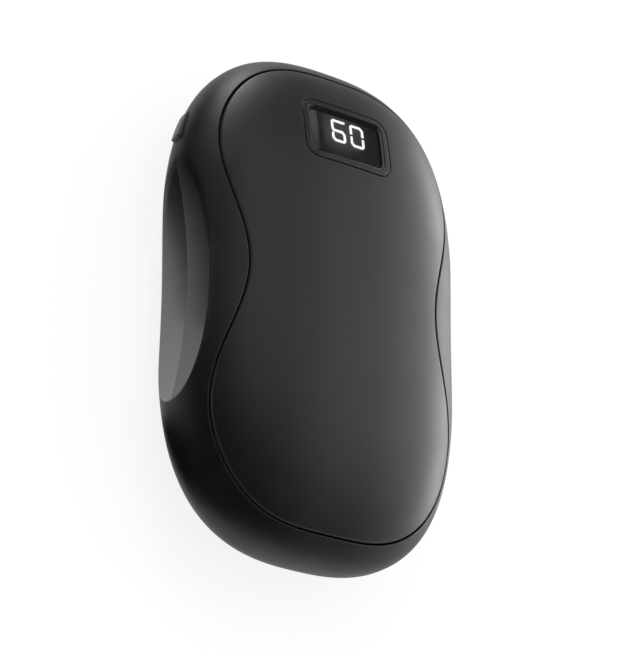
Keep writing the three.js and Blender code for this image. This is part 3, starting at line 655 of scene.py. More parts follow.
@dataclass
class Panel:
    """A heated panel: a waisted plate that follows the dome, with rounded edges."""

    side: Side
    node: str
    window: Place | None = None
    window_half_x: float = 9.95
    window_half_y: float = 6.62
    window_corner: float = 3.05
    window_radius: float = 0.12
    thickness: float = 1.5
    edge_radius: float = 0.25
    rest_blend: float = 0.5
    columns: int = 640
    rows: int = 64
    rows_pull: float = 0.6
    under_rows: int = 8

    def face(self, level: Array, drop: float = 0.0) -> Array:
        """Points of the panel's face: the dome, cut off by the rest flat on the back.

        Args:
            level: Level places.
            drop: How far below the face the points are.

        Returns:
            The points.
        """
        points = PEBBLE.raised(level)
        if self.side is Side.BACK:
            points[:, 2] = soft_min(points[:, 2], PEBBLE.mid_z, self.rest_blend)
        return points - (0.0, 0.0, drop)

    def window_rows(self) -> list[Row]:
        """The window's edge, from the underside up its wall and over its rounding to the face.

        Each column stands on the edge at the bearing of the panel's outline.

        Returns:
            The rows.
        """
        toward = PEBBLE.outline(self.columns) - self.window.middle[:2]
        bearing = np.arctan2(toward[:, 1], toward[:, 0])
        corners = (self.window_corner,) * 4
        dense = rounded_box(self.window_half_x, self.window_half_y, corners, 4 * self.columns)
        bearings = np.arctan2(dense[:, 1], dense[:, 0])
        order = np.argsort(bearings)
        reaches = np.linalg.norm(dense, axis=1)[order]
        reach = np.interp(bearing, bearings[order], reaches, period=2 * np.pi)
        edge = np.stack(polar(reach, bearing), axis=1)
        away = loop_normals(edge)
        rows = [(self.window.over_dome(edge, inset=self.thickness), 0.0)]
        for gap, drop in reversed(round_over(self.window_radius)):
            rows.append((self.window.over_dome(edge + gap * away, -drop), 1.0))
        return rows

    def build(self) -> None:
        """Sews the face, the edges and the underside, whose inner ends meet."""
        border = PEBBLE.outline(self.columns)
        collar = PEBBLE.outline(self.columns, -self.edge_radius)
        top = np.array([0.0, 0.0, PEBBLE.mid_z])
        rows = self.window_rows() if self.window else [(np.tile(top, (self.columns, 1)), 0.0)]
        under, middle = rows[0][0][:, :2], rows[-1][0][:, :2]
        for share in eased(self.rows, self.rows_pull)[1:]:
            rows.append((self.face(middle + (collar - middle) * share), 0.0))
        for gap, drop in round_over(self.edge_radius)[1:]:
            rows.append((self.face(PEBBLE.outline(self.columns, -gap), drop), 1.0))
        for share in np.linspace(1.0, 0.0, self.under_rows + 1):
            rows.append((PEBBLE.raised(under + (border - under) * share, inset=self.thickness), 0.0))
        if self.window:
            rows[-1] = rows[0]
        Quilt(rows).sew(self.node + "_skin", PANEL, self.node, side=self.side)


@dataclass
class Turned:
    """A closed solid made of one outline that is drawn in or out from row to row of a profile."""

    place: Place
    half_x: float
    half_y: float
    corners: tuple[float, ...]
    columns: int = 256
    least_corner: float = 0.02

    def ring(self, offset: float) -> Array:
        """The outline, moved outwards by an offset."""
        corners = tuple(max(corner + offset, self.least_corner) for corner in self.corners)
        return rounded_box(self.half_x + offset, self.half_y + offset, corners, self.columns)

    def row(self, offset: float, rise: float, wear: float = 0.0) -> Row:
        """One level row: the moved outline at a rise over the place's face."""
        return self.place.point(self.ring(offset), rise), wear

    def cap(self, offset: float, rise: float, steps: int = 10) -> list[Row]:
        """Level rows from the middle of a flat end out to the moved outline."""
        ring = self.ring(offset)
        return [(self.place.point(ring * share, rise), 0.0) for share in np.linspace(0.0, 1.0, steps + 1)]


@dataclass
class Display:
    """The readout: ring, smoked lens and lit strokes."""

    place: Place
    half_x: float = 9.7
    half_y: float = 6.37
    corner: float = 2.8
    band: float = 1.15
    band_rows: int = 6
    ring_radius: float = 0.12
    flange_margin: float = 1.7
    flange_top: float = 5.3
    flange_bottom: float = 6.3
    room_depth: float = 1.05
    module_inset: float = 1.8
    lens_gap: float = 0.06
    lens_recess: float = 0.15
    lens_bottom: float = 0.9
    lens_radius: float = 0.05
    lens_rows: int = 16
    columns: int = 320
    digit_height: float = 4.85
    digit_width: float = 3.12
    digit_pitch: float = 4.3
    digit_x: float = 0.68
    digit_y: float = 1.15
    stroke: float = 0.47
    stroke_radius: float = 0.05
    small_cut: float = 0.28
    large_cut: float = 0.5
    digit_break: float = 0.27
    digit_thickness: float = 0.15
    digit_floor: float = 1.3
    tip_taper: float = 0.45

    def form(self) -> Turned:
        """The ring's outline on the panel."""
        return Turned(self.place, self.half_x, self.half_y, (self.corner,) * 4, self.columns)

    def build_ring(self) -> None:
        """Sews the ring: flange, outer wall, rounded face along the dome, and an inner wall and ledge that
        glow with painted light from the digits.
        """
        form = self.form()
        margin, inset = self.flange_margin, -self.module_inset
        rows = [form.row(margin, -self.flange_bottom), form.row(margin, -self.flange_top),
                form.row(0.0, -self.flange_top)]
        for offset, drop in lip(self.ring_radius, self.band, self.band_rows):
            rows.append((self.place.over_dome(form.ring(offset), -drop), float(drop > 0)))
        rows += [form.row(-self.band, -self.room_depth), form.row(inset, -self.room_depth),
                 form.row(inset, -self.flange_bottom), rows[0]]
        zone = np.zeros((len(rows), 1))
        # The inner wall and ledge are the zone, where the ring's finish paints a faint glow from the digits.
        zone[-4:-2] = 1.0
        quilt = Quilt()
        quilt.sheet(*stacked(rows), ring=True, zone=zone)
        quilt.sew("display_ring", RING, "display_bezel")

    def build_lens(self) -> None:
        """Sews the lens: a face that follows the dome a little below it, a rounded edge, a flat underside."""
        form = self.form()
        edge = -(self.band + self.lens_gap)
        inner = form.ring(edge - self.lens_radius)
        rows = [(self.place.over_dome(inner * share, 0.0, self.lens_recess), 0.0)
                for share in np.linspace(0.0, 1.0, self.lens_rows + 1)]
        rows += [(self.place.over_dome(form.ring(edge - gap), -drop, self.lens_recess), 1.0)
                 for gap, drop in round_over(self.lens_radius)[1:]]
        rows += form.cap(edge, -self.lens_bottom, 4)[::-1]
        Quilt(rows).sew("smoked_lens", LENS, "display_lens")

    def stroke_grid(self, path: Array, middle_x: float) -> Array:
        """Carries a flat section with rounded edges along a path, tapers both ends and closes them.

        The section turns with the mitre: the sum of the normals before and after a point, over 1 plus the
        product of the directions there.

        Args:
            path: Points of the middle line, about the digit's middle.
            middle_x: The digit's middle on the display.

        Returns:
            The stroke's points.
        """
        half, edge, thickness = self.stroke / 2, self.stroke_radius, self.digit_thickness
        section = np.array([(-half, 0.0), (-half, thickness - edge), (edge - half, thickness),
                            (half - edge, thickness), (half, thickness - edge), (half, 0.0)])
        along = unit(np.diff(path, axis=0))
        before, after = np.vstack([along[:1], along]), np.vstack([along, along[-1:]])
        square = np.stack([before[:, 1] + after[:, 1], -before[:, 0] - after[:, 0]], axis=1)
        square /= (1 + (before * after).sum(axis=1))[:, None]
        angle = np.linspace(0.0, np.pi / 2, ARC_STEPS + 1)[1:]
        tip = 2 * edge * np.sin(angle)[:, None]
        slim = 1 - self.tip_taper * (1 - np.cos(angle))
        middles = np.vstack([(path[0] - tip * along[0])[::-1], path, path[-1] + tip * along[-1]])
        sides = np.pad(square, ((ARC_STEPS, ARC_STEPS), (0, 0)), mode="edge")
        widths = np.concatenate([slim[::-1], np.ones(len(path)), slim])
        across = (section[:, 0] * widths[:, None])[..., None] * sides[:, None]
        flat = middles[:, None] + across + (middle_x, self.digit_y)
        grid = self.place.point(flat, section[:, 1] - self.digit_floor)
        caps = np.repeat(grid[[0, -1]].mean(axis=1)[:, None], len(section), axis=1)
        return np.concatenate([caps[:1], grid, caps[1:]])

    @staticmethod
    def corner_path(corners: list[Triple]) -> Array:
        """Cuts the inner corners of a path.

        Args:
            corners: Points of the path, each with the length that its corner loses on both sides.

        Returns:
            The path with two points in each corner's place.
        """
        points = np.array(corners)[:, :2]
        inner, cuts = points[1:-1], np.array(corners)[1:-1, 2:]
        cut = [inner + unit(other - inner) * cuts for other in (points[:-2], points[2:])]
        return np.vstack([points[:1], np.stack(cut, axis=1).reshape(-1, 2), points[-1:]])

    def build_digits(self) -> None:
        """Sews the three lit strokes of a 60: the six winds inwards and stops short of its own middle bar."""
        side = (self.digit_width - self.stroke) / 2
        end = (self.digit_height - self.stroke) / 2
        tip = side + self.stroke / 2 - 2 * self.stroke_radius
        low = self.digit_break + 2 * self.stroke_radius
        small, large = self.small_cut, self.large_cut
        six = [(tip, end, 0.0), (-side, end, small), (-side, 0.0, small), (side, 0.0, large),
               (side, -end, small), (-side, -end, large), (-side, -low - small, 0.0)]
        arch = [(-side, low, 0.0), (-side, end, small), (side, end, large), (side, low, 0.0)]
        bowl = [(side, -low, 0.0), (side, -end, small), (-side, -end, large), (-side, -low, 0.0)]
        for node, way, corners in (("six", -1, six), ("zero_upper", 1, arch), ("zero_lower", 1, bowl)):
            quilt = Quilt()
            middle_x = self.digit_x + way * self.digit_pitch / 2
            quilt.sheet(self.stroke_grid(self.corner_path(corners), middle_x), ring=True)
            quilt.sew(f"lit_{node}_stroke", DIGIT, f"lit_{node}")


@dataclass
class PowerKey:
    """The power button in the rim: a rounded cap that stands a little proud at its lower end."""

    place: Place
    half_length: float = 2.8
    half_width: float = 1.72
    outer_corner: float = 0.9
    rim_corner: float = 0.45
    proud: float = 0.5
    proud_rise: float = 0.1
    edge_radius: float = 0.22
    edge_wear: float = 0.6
    edge_rows: int = 7
    face_rows: int = 12
    flange_margin: float = 0.8
    flange_top: float = 2.0
    back: float = 2.8
    columns: int = 200

    def face(self, flat: Array, drop: float = 0.0) -> Array:
        """Points a drop below the cap's face, which stands over the dome, and more so at its lower end."""
        return self.place.over_dome(flat, self.proud + self.proud_rise * flat[:, 0] / self.half_length - drop)

    def build(self) -> None:
        """Sews the cap, its walls and the flange that holds it in."""
        corners = (self.rim_corner, self.rim_corner, self.outer_corner, self.outer_corner)
        form = Turned(self.place, self.half_length, self.half_width, corners, self.columns)
        inner = form.ring(-self.edge_radius)
        rows = [(self.face(inner * share), 0.0) for share in np.linspace(0.0, 1.0, self.face_rows + 1)]
        for gap, drop in round_over(self.edge_radius, self.edge_rows)[1:]:
            rows.append((self.face(form.ring(-gap), drop), self.edge_wear))
        rows += [form.row(0.0, -self.flange_top), form.row(self.flange_margin, -self.flange_top)]
        rows += form.cap(self.flange_margin, -self.back)[::-1]
        Quilt(rows).sew("power_key", KEY, "power_button", BUTTON)


@dataclass
class ChargingSocket:
    """The charging socket: a drawn steel can with a rounded lip, its tongue and contacts."""

    place: Place
    half_x: float = 4.47
    half_y: float = 1.63
    corner: float = 1.6
    sheet: float = 0.3
    length: float = 7.3
    lip_radius: float = 0.1
    tongue_half_x: float = 3.345
    tongue_half_y: float = 0.35
    tongue_setback: float = 0.8
    tongue_radius: float = 0.14
    contact_half: float = 0.13
    contact_pitch: float = 0.5
    contact_count: int = 12
    contact_rise: float = 0.04
    contact_start: float = 1.5
    contact_end: float = 6.6
    contact_bevel: float = 0.96

    def build_can(self) -> None:
        """Sews the can: closed at its back, open at its mouth."""
        form = Turned(self.place, self.half_x, self.half_y, (self.corner,) * 4)
        rows = form.cap(0.0, -self.length)
        rows += [form.row(offset, -drop, 1.0) for offset, drop in lip(self.lip_radius, self.sheet)]
        rows += form.cap(-self.sheet, self.sheet - self.length)[::-1]
        Quilt(rows).sew("charging_socket_can", STEEL, "usb_socket_shell")

    def build_tongue(self) -> None:
        """Sews the tongue, a plate with a rounded front edge."""
        radius = self.tongue_radius
        form = Turned(self.place, self.tongue_half_x, self.tongue_half_y, (radius,) * 4)
        rows = form.cap(0.0, self.sheet - self.length)
        rows += [form.row(-gap, -self.tongue_setback - drop) for gap, drop in reversed(round_over(radius))]
        rows += form.cap(-radius, -self.tongue_setback)[::-1][1:]
        Quilt(rows).sew("charging_socket_tongue", TONGUE, "usb_socket_tongue")

    def build_contacts(self) -> None:
        """Sews the contacts, two rows of slim strips that stand a little out of the tongue."""
        quilt = Quilt()
        half, slope = self.contact_half, self.contact_rise
        near, far = -self.contact_start, -self.contact_end
        ends = ((far, 0.0), (far, 1.0), (near - slope, 1.0), (near, self.contact_bevel), (near, 0.0))
        middles = (np.arange(self.contact_count) - (self.contact_count - 1) / 2) * self.contact_pitch
        for face in (-1, 1):
            root = np.array([0.0, face * self.tongue_half_y / 2])
            top = face * (self.tongue_half_y + slope)
            profile = np.array([(-half, root[1]), (-half, top - face * slope), (slope - half, top),
                                (half - slope, top), (half, top - face * slope), (half, root[1])])
            for middle in middles:
                flats = [(root + (profile - root) * share + (middle, 0.0), rise) for rise, share in ends]
                quilt.sheet(np.stack([self.place.point(flat, rise) for flat, rise in flats]), ring=True)
        quilt.sew("charging_socket_contacts", GOLD, None)


def maths(operation: str, place: int = 0) -> Callable[["Signal", "Signal | float"], "Signal"]:
    """An operator that adds one maths node and puts its own signal first, or second in a reflected form."""
    settings = {"operation": operation}
    return lambda one, other: one.weave.node("ShaderNodeMath", settings, {place: one, 1 - place: other})


@dataclass(frozen=True)
class Signal:
    """A value, colour or vector in a shader; arithmetic on it adds maths nodes."""

    weave: "Weave"
    socket: bpy.types.NodeSocket

    __add__ = __radd__ = maths("ADD")
    __mul__ = __rmul__ = maths("MULTIPLY")
    __sub__ = maths("SUBTRACT")
    __rsub__ = maths("SUBTRACT", 1)
    __truediv__ = maths("DIVIDE")
    __rtruediv__ = maths("DIVIDE", 1)
    larger = maths("MAXIMUM")
    smaller = maths("MINIMUM")

    def spread(self, low: float, high: float) -> "Signal":
        """A share that rises from 0 at low to 1 at high with level ends."""
        sockets = {"Value": self, "From Min": low, "From Max": high}
        return self.weave.node("ShaderNodeMapRange", {"interpolation_type": "SMOOTHSTEP"}, sockets)

    def between(self, ends: Pair) -> "Signal":
        """A share that rises from the first to the second of two places in millimetres."""
        return self.spread(ends[0] * MM, ends[1] * MM)

    def blend(self, first: "Triple | Signal", second: Triple) -> "Signal":
        """A colour between two, by this share."""
        sockets = {0: self, 6: first if isinstance(first, Signal) else (*first, 1.0), 7: (*second, 1.0)}
        return self.weave.node("ShaderNodeMix", {"data_type": "RGBA"}, sockets, 2)


class Weave:
    """A material's node tree and the ways to add to it."""

    def __init__(self, name: str) -> None:
        """Starts a material with an output and nothing else.

        Args:
            name: The material's name.
        """
        self.material = bpy.data.materials.new(name)
        self.material.use_nodes = True
        self.tree = self.material.node_tree
        self.tree.nodes.clear()
        self.output = self.tree.nodes.new("ShaderNodeOutputMaterial")

    def node(self, kind: str, settings: dict | None = None, sockets: dict | None = None,
             output: int | str = 0) -> Signal:
        """Adds a node.

        Args:
            kind: The node's type.
            settings: Its settings by name.
            sockets: Its inputs by name or number: signals are linked, and constants set.
            output: The output that is returned.

        Returns:
            The output as a signal.
        """
        made = self.tree.nodes.new(kind)
        for key, value in (settings or {}).items():
            setattr(made, key, value)
        for key, value in (sockets or {}).items():
            if isinstance(value, Signal):
                self.tree.links.new(value.socket, made.inputs[key])
            else:
                made.inputs[key].default_value = value
        return Signal(self, made.outputs[output])

    def place(self) -> Signal:
        """Object coordinates, which are the frame's own."""
        return self.node("ShaderNodeTexCoord", output="Object")

    def along(self, axis: str) -> Signal:
        """One object coordinate, in metres."""
        return self.node("ShaderNodeSeparateXYZ", sockets={0: self.place()}, output=axis)

    def noise(self, size: float, detail: float = 3.0, rough: float = 0.5,
              stretch: Triple | None = None) -> Signal:
        """Soft noise.

        Args:
            size: Size of its features, in millimetres.
            detail: How many finer layers it has.
            rough: How strong they are.
            stretch: Factors for the coordinates, axis by axis.

        Returns:
            The noise.
        """
        vector = self.place()
        if stretch:
            vector = self.node("ShaderNodeVectorMath", {"operation": "MULTIPLY"}, {0: vector, 1: stretch})
        sockets = {"Vector": vector, "Scale": 1 / (size * MM), "Detail": detail, "Roughness": rough}
        return self.node("ShaderNodeTexNoise", sockets=sockets)

    def cells(self, size: float, feature: str = "F1") -> Signal:
        """Distance in a cell pattern with a cell size in millimetres."""
        sockets = {"Vector": self.place(), "Scale": 1 / (size * MM)}
        return self.node("ShaderNodeTexVoronoi", {"feature": feature}, sockets)

    def waves(self, bands: str, sockets: dict) -> Signal:
        """Parallel bands across a direction."""
        sockets = {"Vector": self.place(), "Detail": 1.0} | sockets
        return self.node("ShaderNodeTexWave", {"bands_direction": bands}, sockets, "Fac")

    def layer(self, name: str) -> Signal:
        """One of the mesh's own layers: wear at the edges, or the zone that the finish treats apart."""
        return self.node("ShaderNodeAttribute", {"attribute_name": name}, output="Fac")

    def bump(self, height: Signal, depth: float, under: Signal | None = None) -> Signal:
        """A bump of a depth in millimetres, over another one if there is one."""
        sockets = {"Height": height, "Distance": depth * MM, "Strength": 1.0}
        return self.node("ShaderNodeBump", sockets=sockets | ({"Normal": under} if under else {}))

    def show(self, surface: Signal) -> bpy.types.Material:
        """Links a shader to the output and returns the material."""
        self.tree.links.new(surface.socket, self.output.inputs["Surface"])
        return self.material


def shade(colour: Triple, factor: float) -> Triple:
    """A colour times a factor."""
    return tuple(factor * part for part in colour)


@dataclass(frozen=True)
class Finish:
    """A finish, under the name of its material; each kind of it gives the inputs of its surface shader."""

    name: str

    def inputs(self, weave: Weave) -> dict:
        """Works out the surface shader's inputs.

        Args:
            weave: The material's tree.

        Returns:
            Constants and signals, by the names of the inputs.
        """
        raise NotImplementedError

    @cache
    def build(self) -> bpy.types.Material:
        """Builds the material, once."""
        weave = Weave(self.name)
        return weave.show(weave.node("ShaderNodeBsdfPrincipled", sockets=self.inputs(weave)))

    def dress(self, piece: Piece) -> None:
        """Gives a piece the finish, in all its material slots."""
        if not piece.material_slots:
            piece.data.materials.append(None)
        for slot in piece.material_slots:
            slot.material = self.build()


@dataclass(frozen=True)
class Moulded(Finish):
    """A moulded plastic: slow clouds in tone and gloss, a fine grain and lighter, glossier worn edges.

    The mesh's zone may be glossier, coated or given a faint painted glow.
    """

    colour: Triple
    worn: Triple
    roughness: float = 0.5
    specular: float = 0.4
    cloud: float = 7.0
    cloud_gloss: float = 0.1
    grain: float = 0.13
    grain_gloss: float = 0.12
    grain_depth: float = 0.006
    edge_gloss: float = 0.08
    tones: Triple = (0.7, 0.5, 0.35)
    zone_gloss: float = 0.0
    zone_coat: float = 0.0
    zone_painted_glow: float = 0.0
    coat: float = 0.0
    coat_roughness: float = 0.3

    def inputs(self, weave: Weave) -> dict:
        """Tone adds up wear, cloud and grain by their shares; gloss follows all three and the zone.

        Args:
            weave: The material's tree.

        Returns:
            The shader's inputs.
        """
        cloud = weave.noise(self.cloud, 4.0)
        grain = weave.noise(self.grain, 2.0, 0.6)
        wear = weave.layer("wear")
        tone = wear * self.tones[0] + (cloud - 0.5) * self.tones[1] + (grain - 0.5) * self.tones[2]
        rough = (cloud - 0.5) * self.cloud_gloss + (grain - 0.5) * self.grain_gloss - wear * self.edge_gloss
        if self.zone_gloss > 0:
            rough = rough - weave.layer("zone") * self.zone_gloss
        # A glowing zone is painted light, not a lamp.
        lit = {}
        if self.zone_painted_glow > 0:
            lit = {"Emission Color": weave.layer("zone").blend((0.0, 0.0, 0.0), (1.0, 1.0, 1.0)),
                   "Emission Strength": self.zone_painted_glow}
        return lit | {
            "Base Color": tone.larger(0.0).smaller(1.0).blend(self.colour, self.worn),
            "Roughness": rough + self.roughness,
            "Specular IOR Level": self.specular,
            "Coat Weight": weave.layer("zone") * self.zone_coat if self.zone_coat > 0 else self.coat,
            "Coat Roughness": self.coat_roughness,
            "Normal": weave.bump(grain, self.grain_depth, weave.bump(cloud, self.grain_depth)),
        }


@dataclass(frozen=True)
class Glazed(Finish):
    """A smoked clear sheet, almost black, with a faint haze and fine rubbing."""

    colour: Triple
    roughness: float = 0.004
    haze: float = 2.6
    haze_tint: float = 1.3
    rub: float = 0.2
    rub_stretch: Triple = (0.2, 1.0, 1.0)
    gloss: Triple = (0.012, 0.008, 0.1)
    refraction: float = 1.5

    def inputs(self, weave: Weave) -> dict:
        """Haze in tone, and haze, rubbing and edge wear in gloss.

        Args:
            weave: The material's tree.

        Returns:
            The shader's inputs.
        """
        haze = weave.noise(self.haze)
        rub = weave.noise(self.rub, 2.0, 0.5, self.rub_stretch)
        return {
            "Base Color": haze.blend(self.colour, shade(self.colour, self.haze_tint)),
            "Roughness": haze * self.gloss[0] + rub * self.gloss[1] + weave.layer("wear") * self.gloss[2]
                         + self.roughness,
            "IOR": self.refraction,
            "Transmission Weight": 1.0,
        }


@dataclass(frozen=True)
class Lit(Finish):
    """A light guide that glows, with a fine grain in its glow and gloss."""

    strength: float
    colour: Triple = (0.8, 0.8, 0.8)
    glow: tuple[Triple, Triple] = ((0.86, 0.88, 0.9), (1.0, 1.0, 1.0))
    grain: float = 0.35
    grain_gloss: float = 0.2
    roughness: float = 0.4

    def inputs(self, weave: Weave) -> dict:
        """The grain moves the glow from its dimmer to its brighter colour."""
        grain = weave.noise(self.grain, 2.0)
        return {"Base Color": (*self.colour, 1.0), "Roughness": grain * self.grain_gloss + self.roughness,
                "Emission Color": grain.blend(*self.glow), "Emission Strength": self.strength}


@dataclass(frozen=True)
class Face(Finish):
    """The readout's black film, with painted light: a painted glow spills round the digits, and its left
    margin is paler and glows, a painted highlight.
    """

    film: Triple = (0.1, 0.1, 0.102)
    # The margin's paler colour is part of a painted highlight.
    margin: Triple = (0.55, 0.55, 0.56)
    # Colours of the film's painted glow: dim away from the digits, bright round them.
    dim_painted_glow: Triple = (0.22, 0.22, 0.225)
    painted_spill: Triple = (0.98, 0.985, 1.0)
    strength: float = 0.18
    digit_share: float = 0.7
    margin_highlight_share: float = 0.8
    middle: Pair = (-1.1, 33.4)
    reach: Pair = (7.2, 6.0)
    margin_x: Pair = (-5.8, -6.5)
    bar_x: Pair = (-4.3, -5.5)
    fade_y: Pair = (28.5, 34.0)
    fade_floor: float = 0.2
    cloud: float = 2.2
    cloud_share: float = 0.3
    strip_cloud: Pair = (0.6, 0.8)
    roughness: float = 0.3
    cloud_gloss: float = 0.1

    def inputs(self, weave: Weave) -> dict:
        """The painted glow falls off round the digits' middle and ends at a dark bar by the margin; the
        margin's painted highlight fades towards the bottom.

        Args:
            weave: The material's tree.

        Returns:
            The shader's inputs.
        """
        x, y = weave.along("X"), weave.along("Y")
        off_x = (x - self.middle[0] * MM) / (self.reach[0] * MM)
        off_y = (y - self.middle[1] * MM) / (self.reach[1] * MM)
        cloud = weave.noise(self.cloud)
        # Painted light: a glow round the digits' middle, standing in for the light that they spread over the
        # film.
        near = (off_x * off_x + off_y * off_y + (cloud - 0.5) * self.cloud_share).spread(1.0, 0.0)
        # Painted highlight on the left margin: paler colour, and a glow that is stronger at the top than at
        # the bottom.
        beside = x.between(self.margin_x)
        high = y.between(self.fade_y) * (1 - self.fade_floor) + self.fade_floor
        strip = beside * high * (cloud * self.strip_cloud[1] + self.strip_cloud[0])
        light = (near * (1.0 - x.between(self.bar_x)) * self.digit_share).larger(strip * self.margin_highlight_share)
        return {
            "Base Color": beside.blend(self.film, self.margin),
            "Roughness": cloud * self.cloud_gloss + self.roughness,
            "Emission Color": light.blend(self.dim_painted_glow, self.painted_spill),
            "Emission Strength": self.strength,
        }


@dataclass(frozen=True)
class Metal(Finish):
    """A drawn or rolled metal with fine lines along one axis and dull patches."""

    colour: Triple
    dull: Triple
    roughness: float = 0.25
    line: float = 0.06
    line_stretch: Triple = (1.0, 0.05, 1.0)
    line_depth: float = 0.0012
    patch: float = 1.8
    tones: Pair = (0.7, 0.3)
    gloss: Pair = (0.12, 0.14)

    def inputs(self, weave: Weave) -> dict:
        """Patches and lines in tone and gloss.

        Args:
            weave: The material's tree.

        Returns:
            The shader's inputs.
        """
        line = weave.noise(self.line, 3.0, 0.6, self.line_stretch)
        patch = weave.noise(self.patch, 4.0)
        return {
            "Base Color": (patch * self.tones[0] + line * self.tones[1]).blend(self.colour, self.dull),
            "Metallic": 1.0,
            "Roughness": patch * self.gloss[0] + line * self.gloss[1] + self.roughness,
            "Normal": weave.bump(line, self.line_depth),
        }


@dataclass(frozen=True)
class Foil(Finish):
    """The laminated foil of a pouch cell: crinkled, silvery and uneven in gloss."""

    colour: Triple
    dull_share: float = 0.72
    crease: float = 2.4
    crease_depth: float = 0.16
    crinkle: float = 1.1
    crease_share: float = 1.2
    fine: float = 0.16
    fine_depth: float = 0.006
    metal_share: float = 0.85
    roughness: float = 0.22
    crinkle_gloss: float = 0.3

    def inputs(self, weave: Weave) -> dict:
        """Creases at the edges of cells, a crinkle over them and a fine emboss.

        Args:
            weave: The material's tree.

        Returns:
            The shader's inputs.
        """
        fine, crinkle = weave.cells(self.fine), weave.noise(self.crinkle, 5.0, 0.65)
        folds = weave.cells(self.crease, "DISTANCE_TO_EDGE") * self.crease_share + crinkle
        return {
            "Base Color": crinkle.blend(self.colour, shade(self.colour, self.dull_share)),
            "Metallic": self.metal_share,
            "Roughness": crinkle * self.crinkle_gloss + self.roughness,
            "Normal": weave.bump(fine, self.fine_depth, weave.bump(folds, self.crease_depth)),
        }


@dataclass(frozen=True)
class Board(Finish):
    """Solder mask over copper: raised tracks, paler over the metal, with bare tinned pads."""

    mask: Triple
    over_copper: Triple
    pad: Triple
    warp: float = 3.5
    wave_scale: float = 260.0
    wave_warp: float = 9.0
    track_from: Pair = (0.62, 0.72)
    patch_from: Pair = (0.44, 0.5)
    pad_cell: float = 1.9
    pad_from: Pair = (0.3, 0.26)
    pad_metal: float = 0.9
    roughness: float = 0.26
    warp_gloss: float = 0.15
    relief: float = 0.03

    def inputs(self, weave: Weave) -> dict:
        """Tracks are the crests of warped waves, left out in patches, and pads the middles of cells.

        Args:
            weave: The material's tree.

        Returns:
            The shader's inputs.
        """
        warp = weave.noise(self.warp, 1.0)
        sockets = {"Scale": self.wave_scale, "Distortion": self.wave_warp, "Detail Scale": 2.0}
        dots = weave.cells(self.pad_cell).spread(*self.pad_from)
        lines = weave.waves("DIAGONAL", sockets).spread(*self.track_from) * warp.spread(*self.patch_from)
        return {
            "Base Color": dots.blend(lines.blend(self.mask, self.over_copper), self.pad),
            "Metallic": dots * self.pad_metal,
            "Roughness": warp * self.warp_gloss + self.roughness,
            "Normal": weave.bump(lines + dots, self.relief),
        }


@dataclass(frozen=True)
class Film(Finish):
    """Polyimide film with a copper heating track that winds under it."""

    film: Triple
    track: Triple
    wave_scale: float = 130.0
    wave_warp: float = 0.6
    track_from: Pair = (0.42, 0.5)
    track_metal: float = 0.35
    cloud: float = 4.0
    cloud_gloss: float = 0.16
    cloud_relief: float = 0.4
    roughness: float = 0.24
    relief: float = 0.02

    def inputs(self, weave: Weave) -> dict:
        """The track is the crest of a wave; clouds move the gloss.

        Args:
            weave: The material's tree.

        Returns:
            The shader's inputs.
        """
        wave = weave.waves("Y", {"Scale": self.wave_scale, "Distortion": self.wave_warp})
        line = wave.spread(*self.track_from)
        cloud = weave.noise(self.cloud)
        return {
            "Base Color": line.blend(self.film, self.track),
            "Metallic": line * self.track_metal,
            "Roughness": cloud * self.cloud_gloss + self.roughness,
            "Normal": weave.bump(line + cloud * self.cloud_relief, self.relief),
        }


@dataclass(frozen=True)
class Foam(Finish):
    """Closed-cell foam: dull, pitted and uneven."""

    colour: Triple
    lighter: float = 2.4
    pit: float = 0.45
    pit_depth: float = 0.12
    cloud: float = 3.0
    tones: Pair = (0.6, 0.5)
    roughness: float = 0.86
    cloud_gloss: float = 0.1
    specular: float = 0.2

    def inputs(self, weave: Weave) -> dict:
        """Pits and clouds in tone, clouds in gloss.

        Args:
            weave: The material's tree.

        Returns:
            The shader's inputs.
        """
        pit, cloud = weave.cells(self.pit), weave.noise(self.cloud, 4.0)
        tone = pit * self.tones[0] + cloud * self.tones[1]
        return {
            "Base Color": tone.blend(self.colour, shade(self.colour, self.lighter)),
            "Roughness": cloud * self.cloud_gloss + self.roughness,
            "Specular IOR Level": self.specular,
            "Normal": weave.bump(pit, self.pit_depth),
        }


FRONT_SHELL = Moulded("soft_touch_front", (0.0036, 0.0036, 0.0038), (0.015, 0.015, 0.016), specular=0.47,
                      zone_gloss=0.2, zone_coat=0.15, coat_roughness=0.36)
BACK_SHELL = replace(FRONT_SHELL, name="soft_touch_back", zone_coat=1.0)
PANEL = Moulded("soft_touch_panel", (0.0052, 0.0052, 0.0055), (0.017, 0.017, 0.018), 0.48, 0.48)
# Its zone, the ledge and inner wall, glows faintly: painted light from the digits.
RING = Moulded("satin_ring", (0.0065, 0.0065, 0.0068), (0.02, 0.02, 0.021), 0.45, 0.42, zone_painted_glow=0.02)
KEY = Moulded("satin_key", (0.026, 0.026, 0.027), (0.05, 0.05, 0.052), 0.42, 0.45)
HOUSING = Moulded("moulded_housing", (0.006, 0.006, 0.0066), (0.016, 0.016, 0.017))
TONGUE = Moulded("moulded_tongue", (0.009, 0.009, 0.01), (0.03, 0.03, 0.032), 0.42)
CHIP = Moulded("moulded_epoxy", (0.009, 0.009, 0.01), (0.035, 0.035, 0.036), 0.55, grain=0.05)
FERRITE = Moulded("sintered_ferrite", (0.035, 0.035, 0.038), (0.08, 0.08, 0.084), 0.72, grain=0.09)
CREAM = Moulded("moulded_connector", (0.66, 0.62, 0.53), (0.85, 0.81, 0.72), 0.4)
RED = Moulded("red_wire_sleeve", (0.36, 0.012, 0.011), (0.55, 0.05, 0.04), 0.42)
BLACK = Moulded("black_wire_sleeve", (0.008, 0.008, 0.008), (0.03, 0.03, 0.03), 0.42)
WHITE = Moulded("white_wire_sleeve", (0.6, 0.6, 0.57), (0.8, 0.8, 0.77), 0.4)
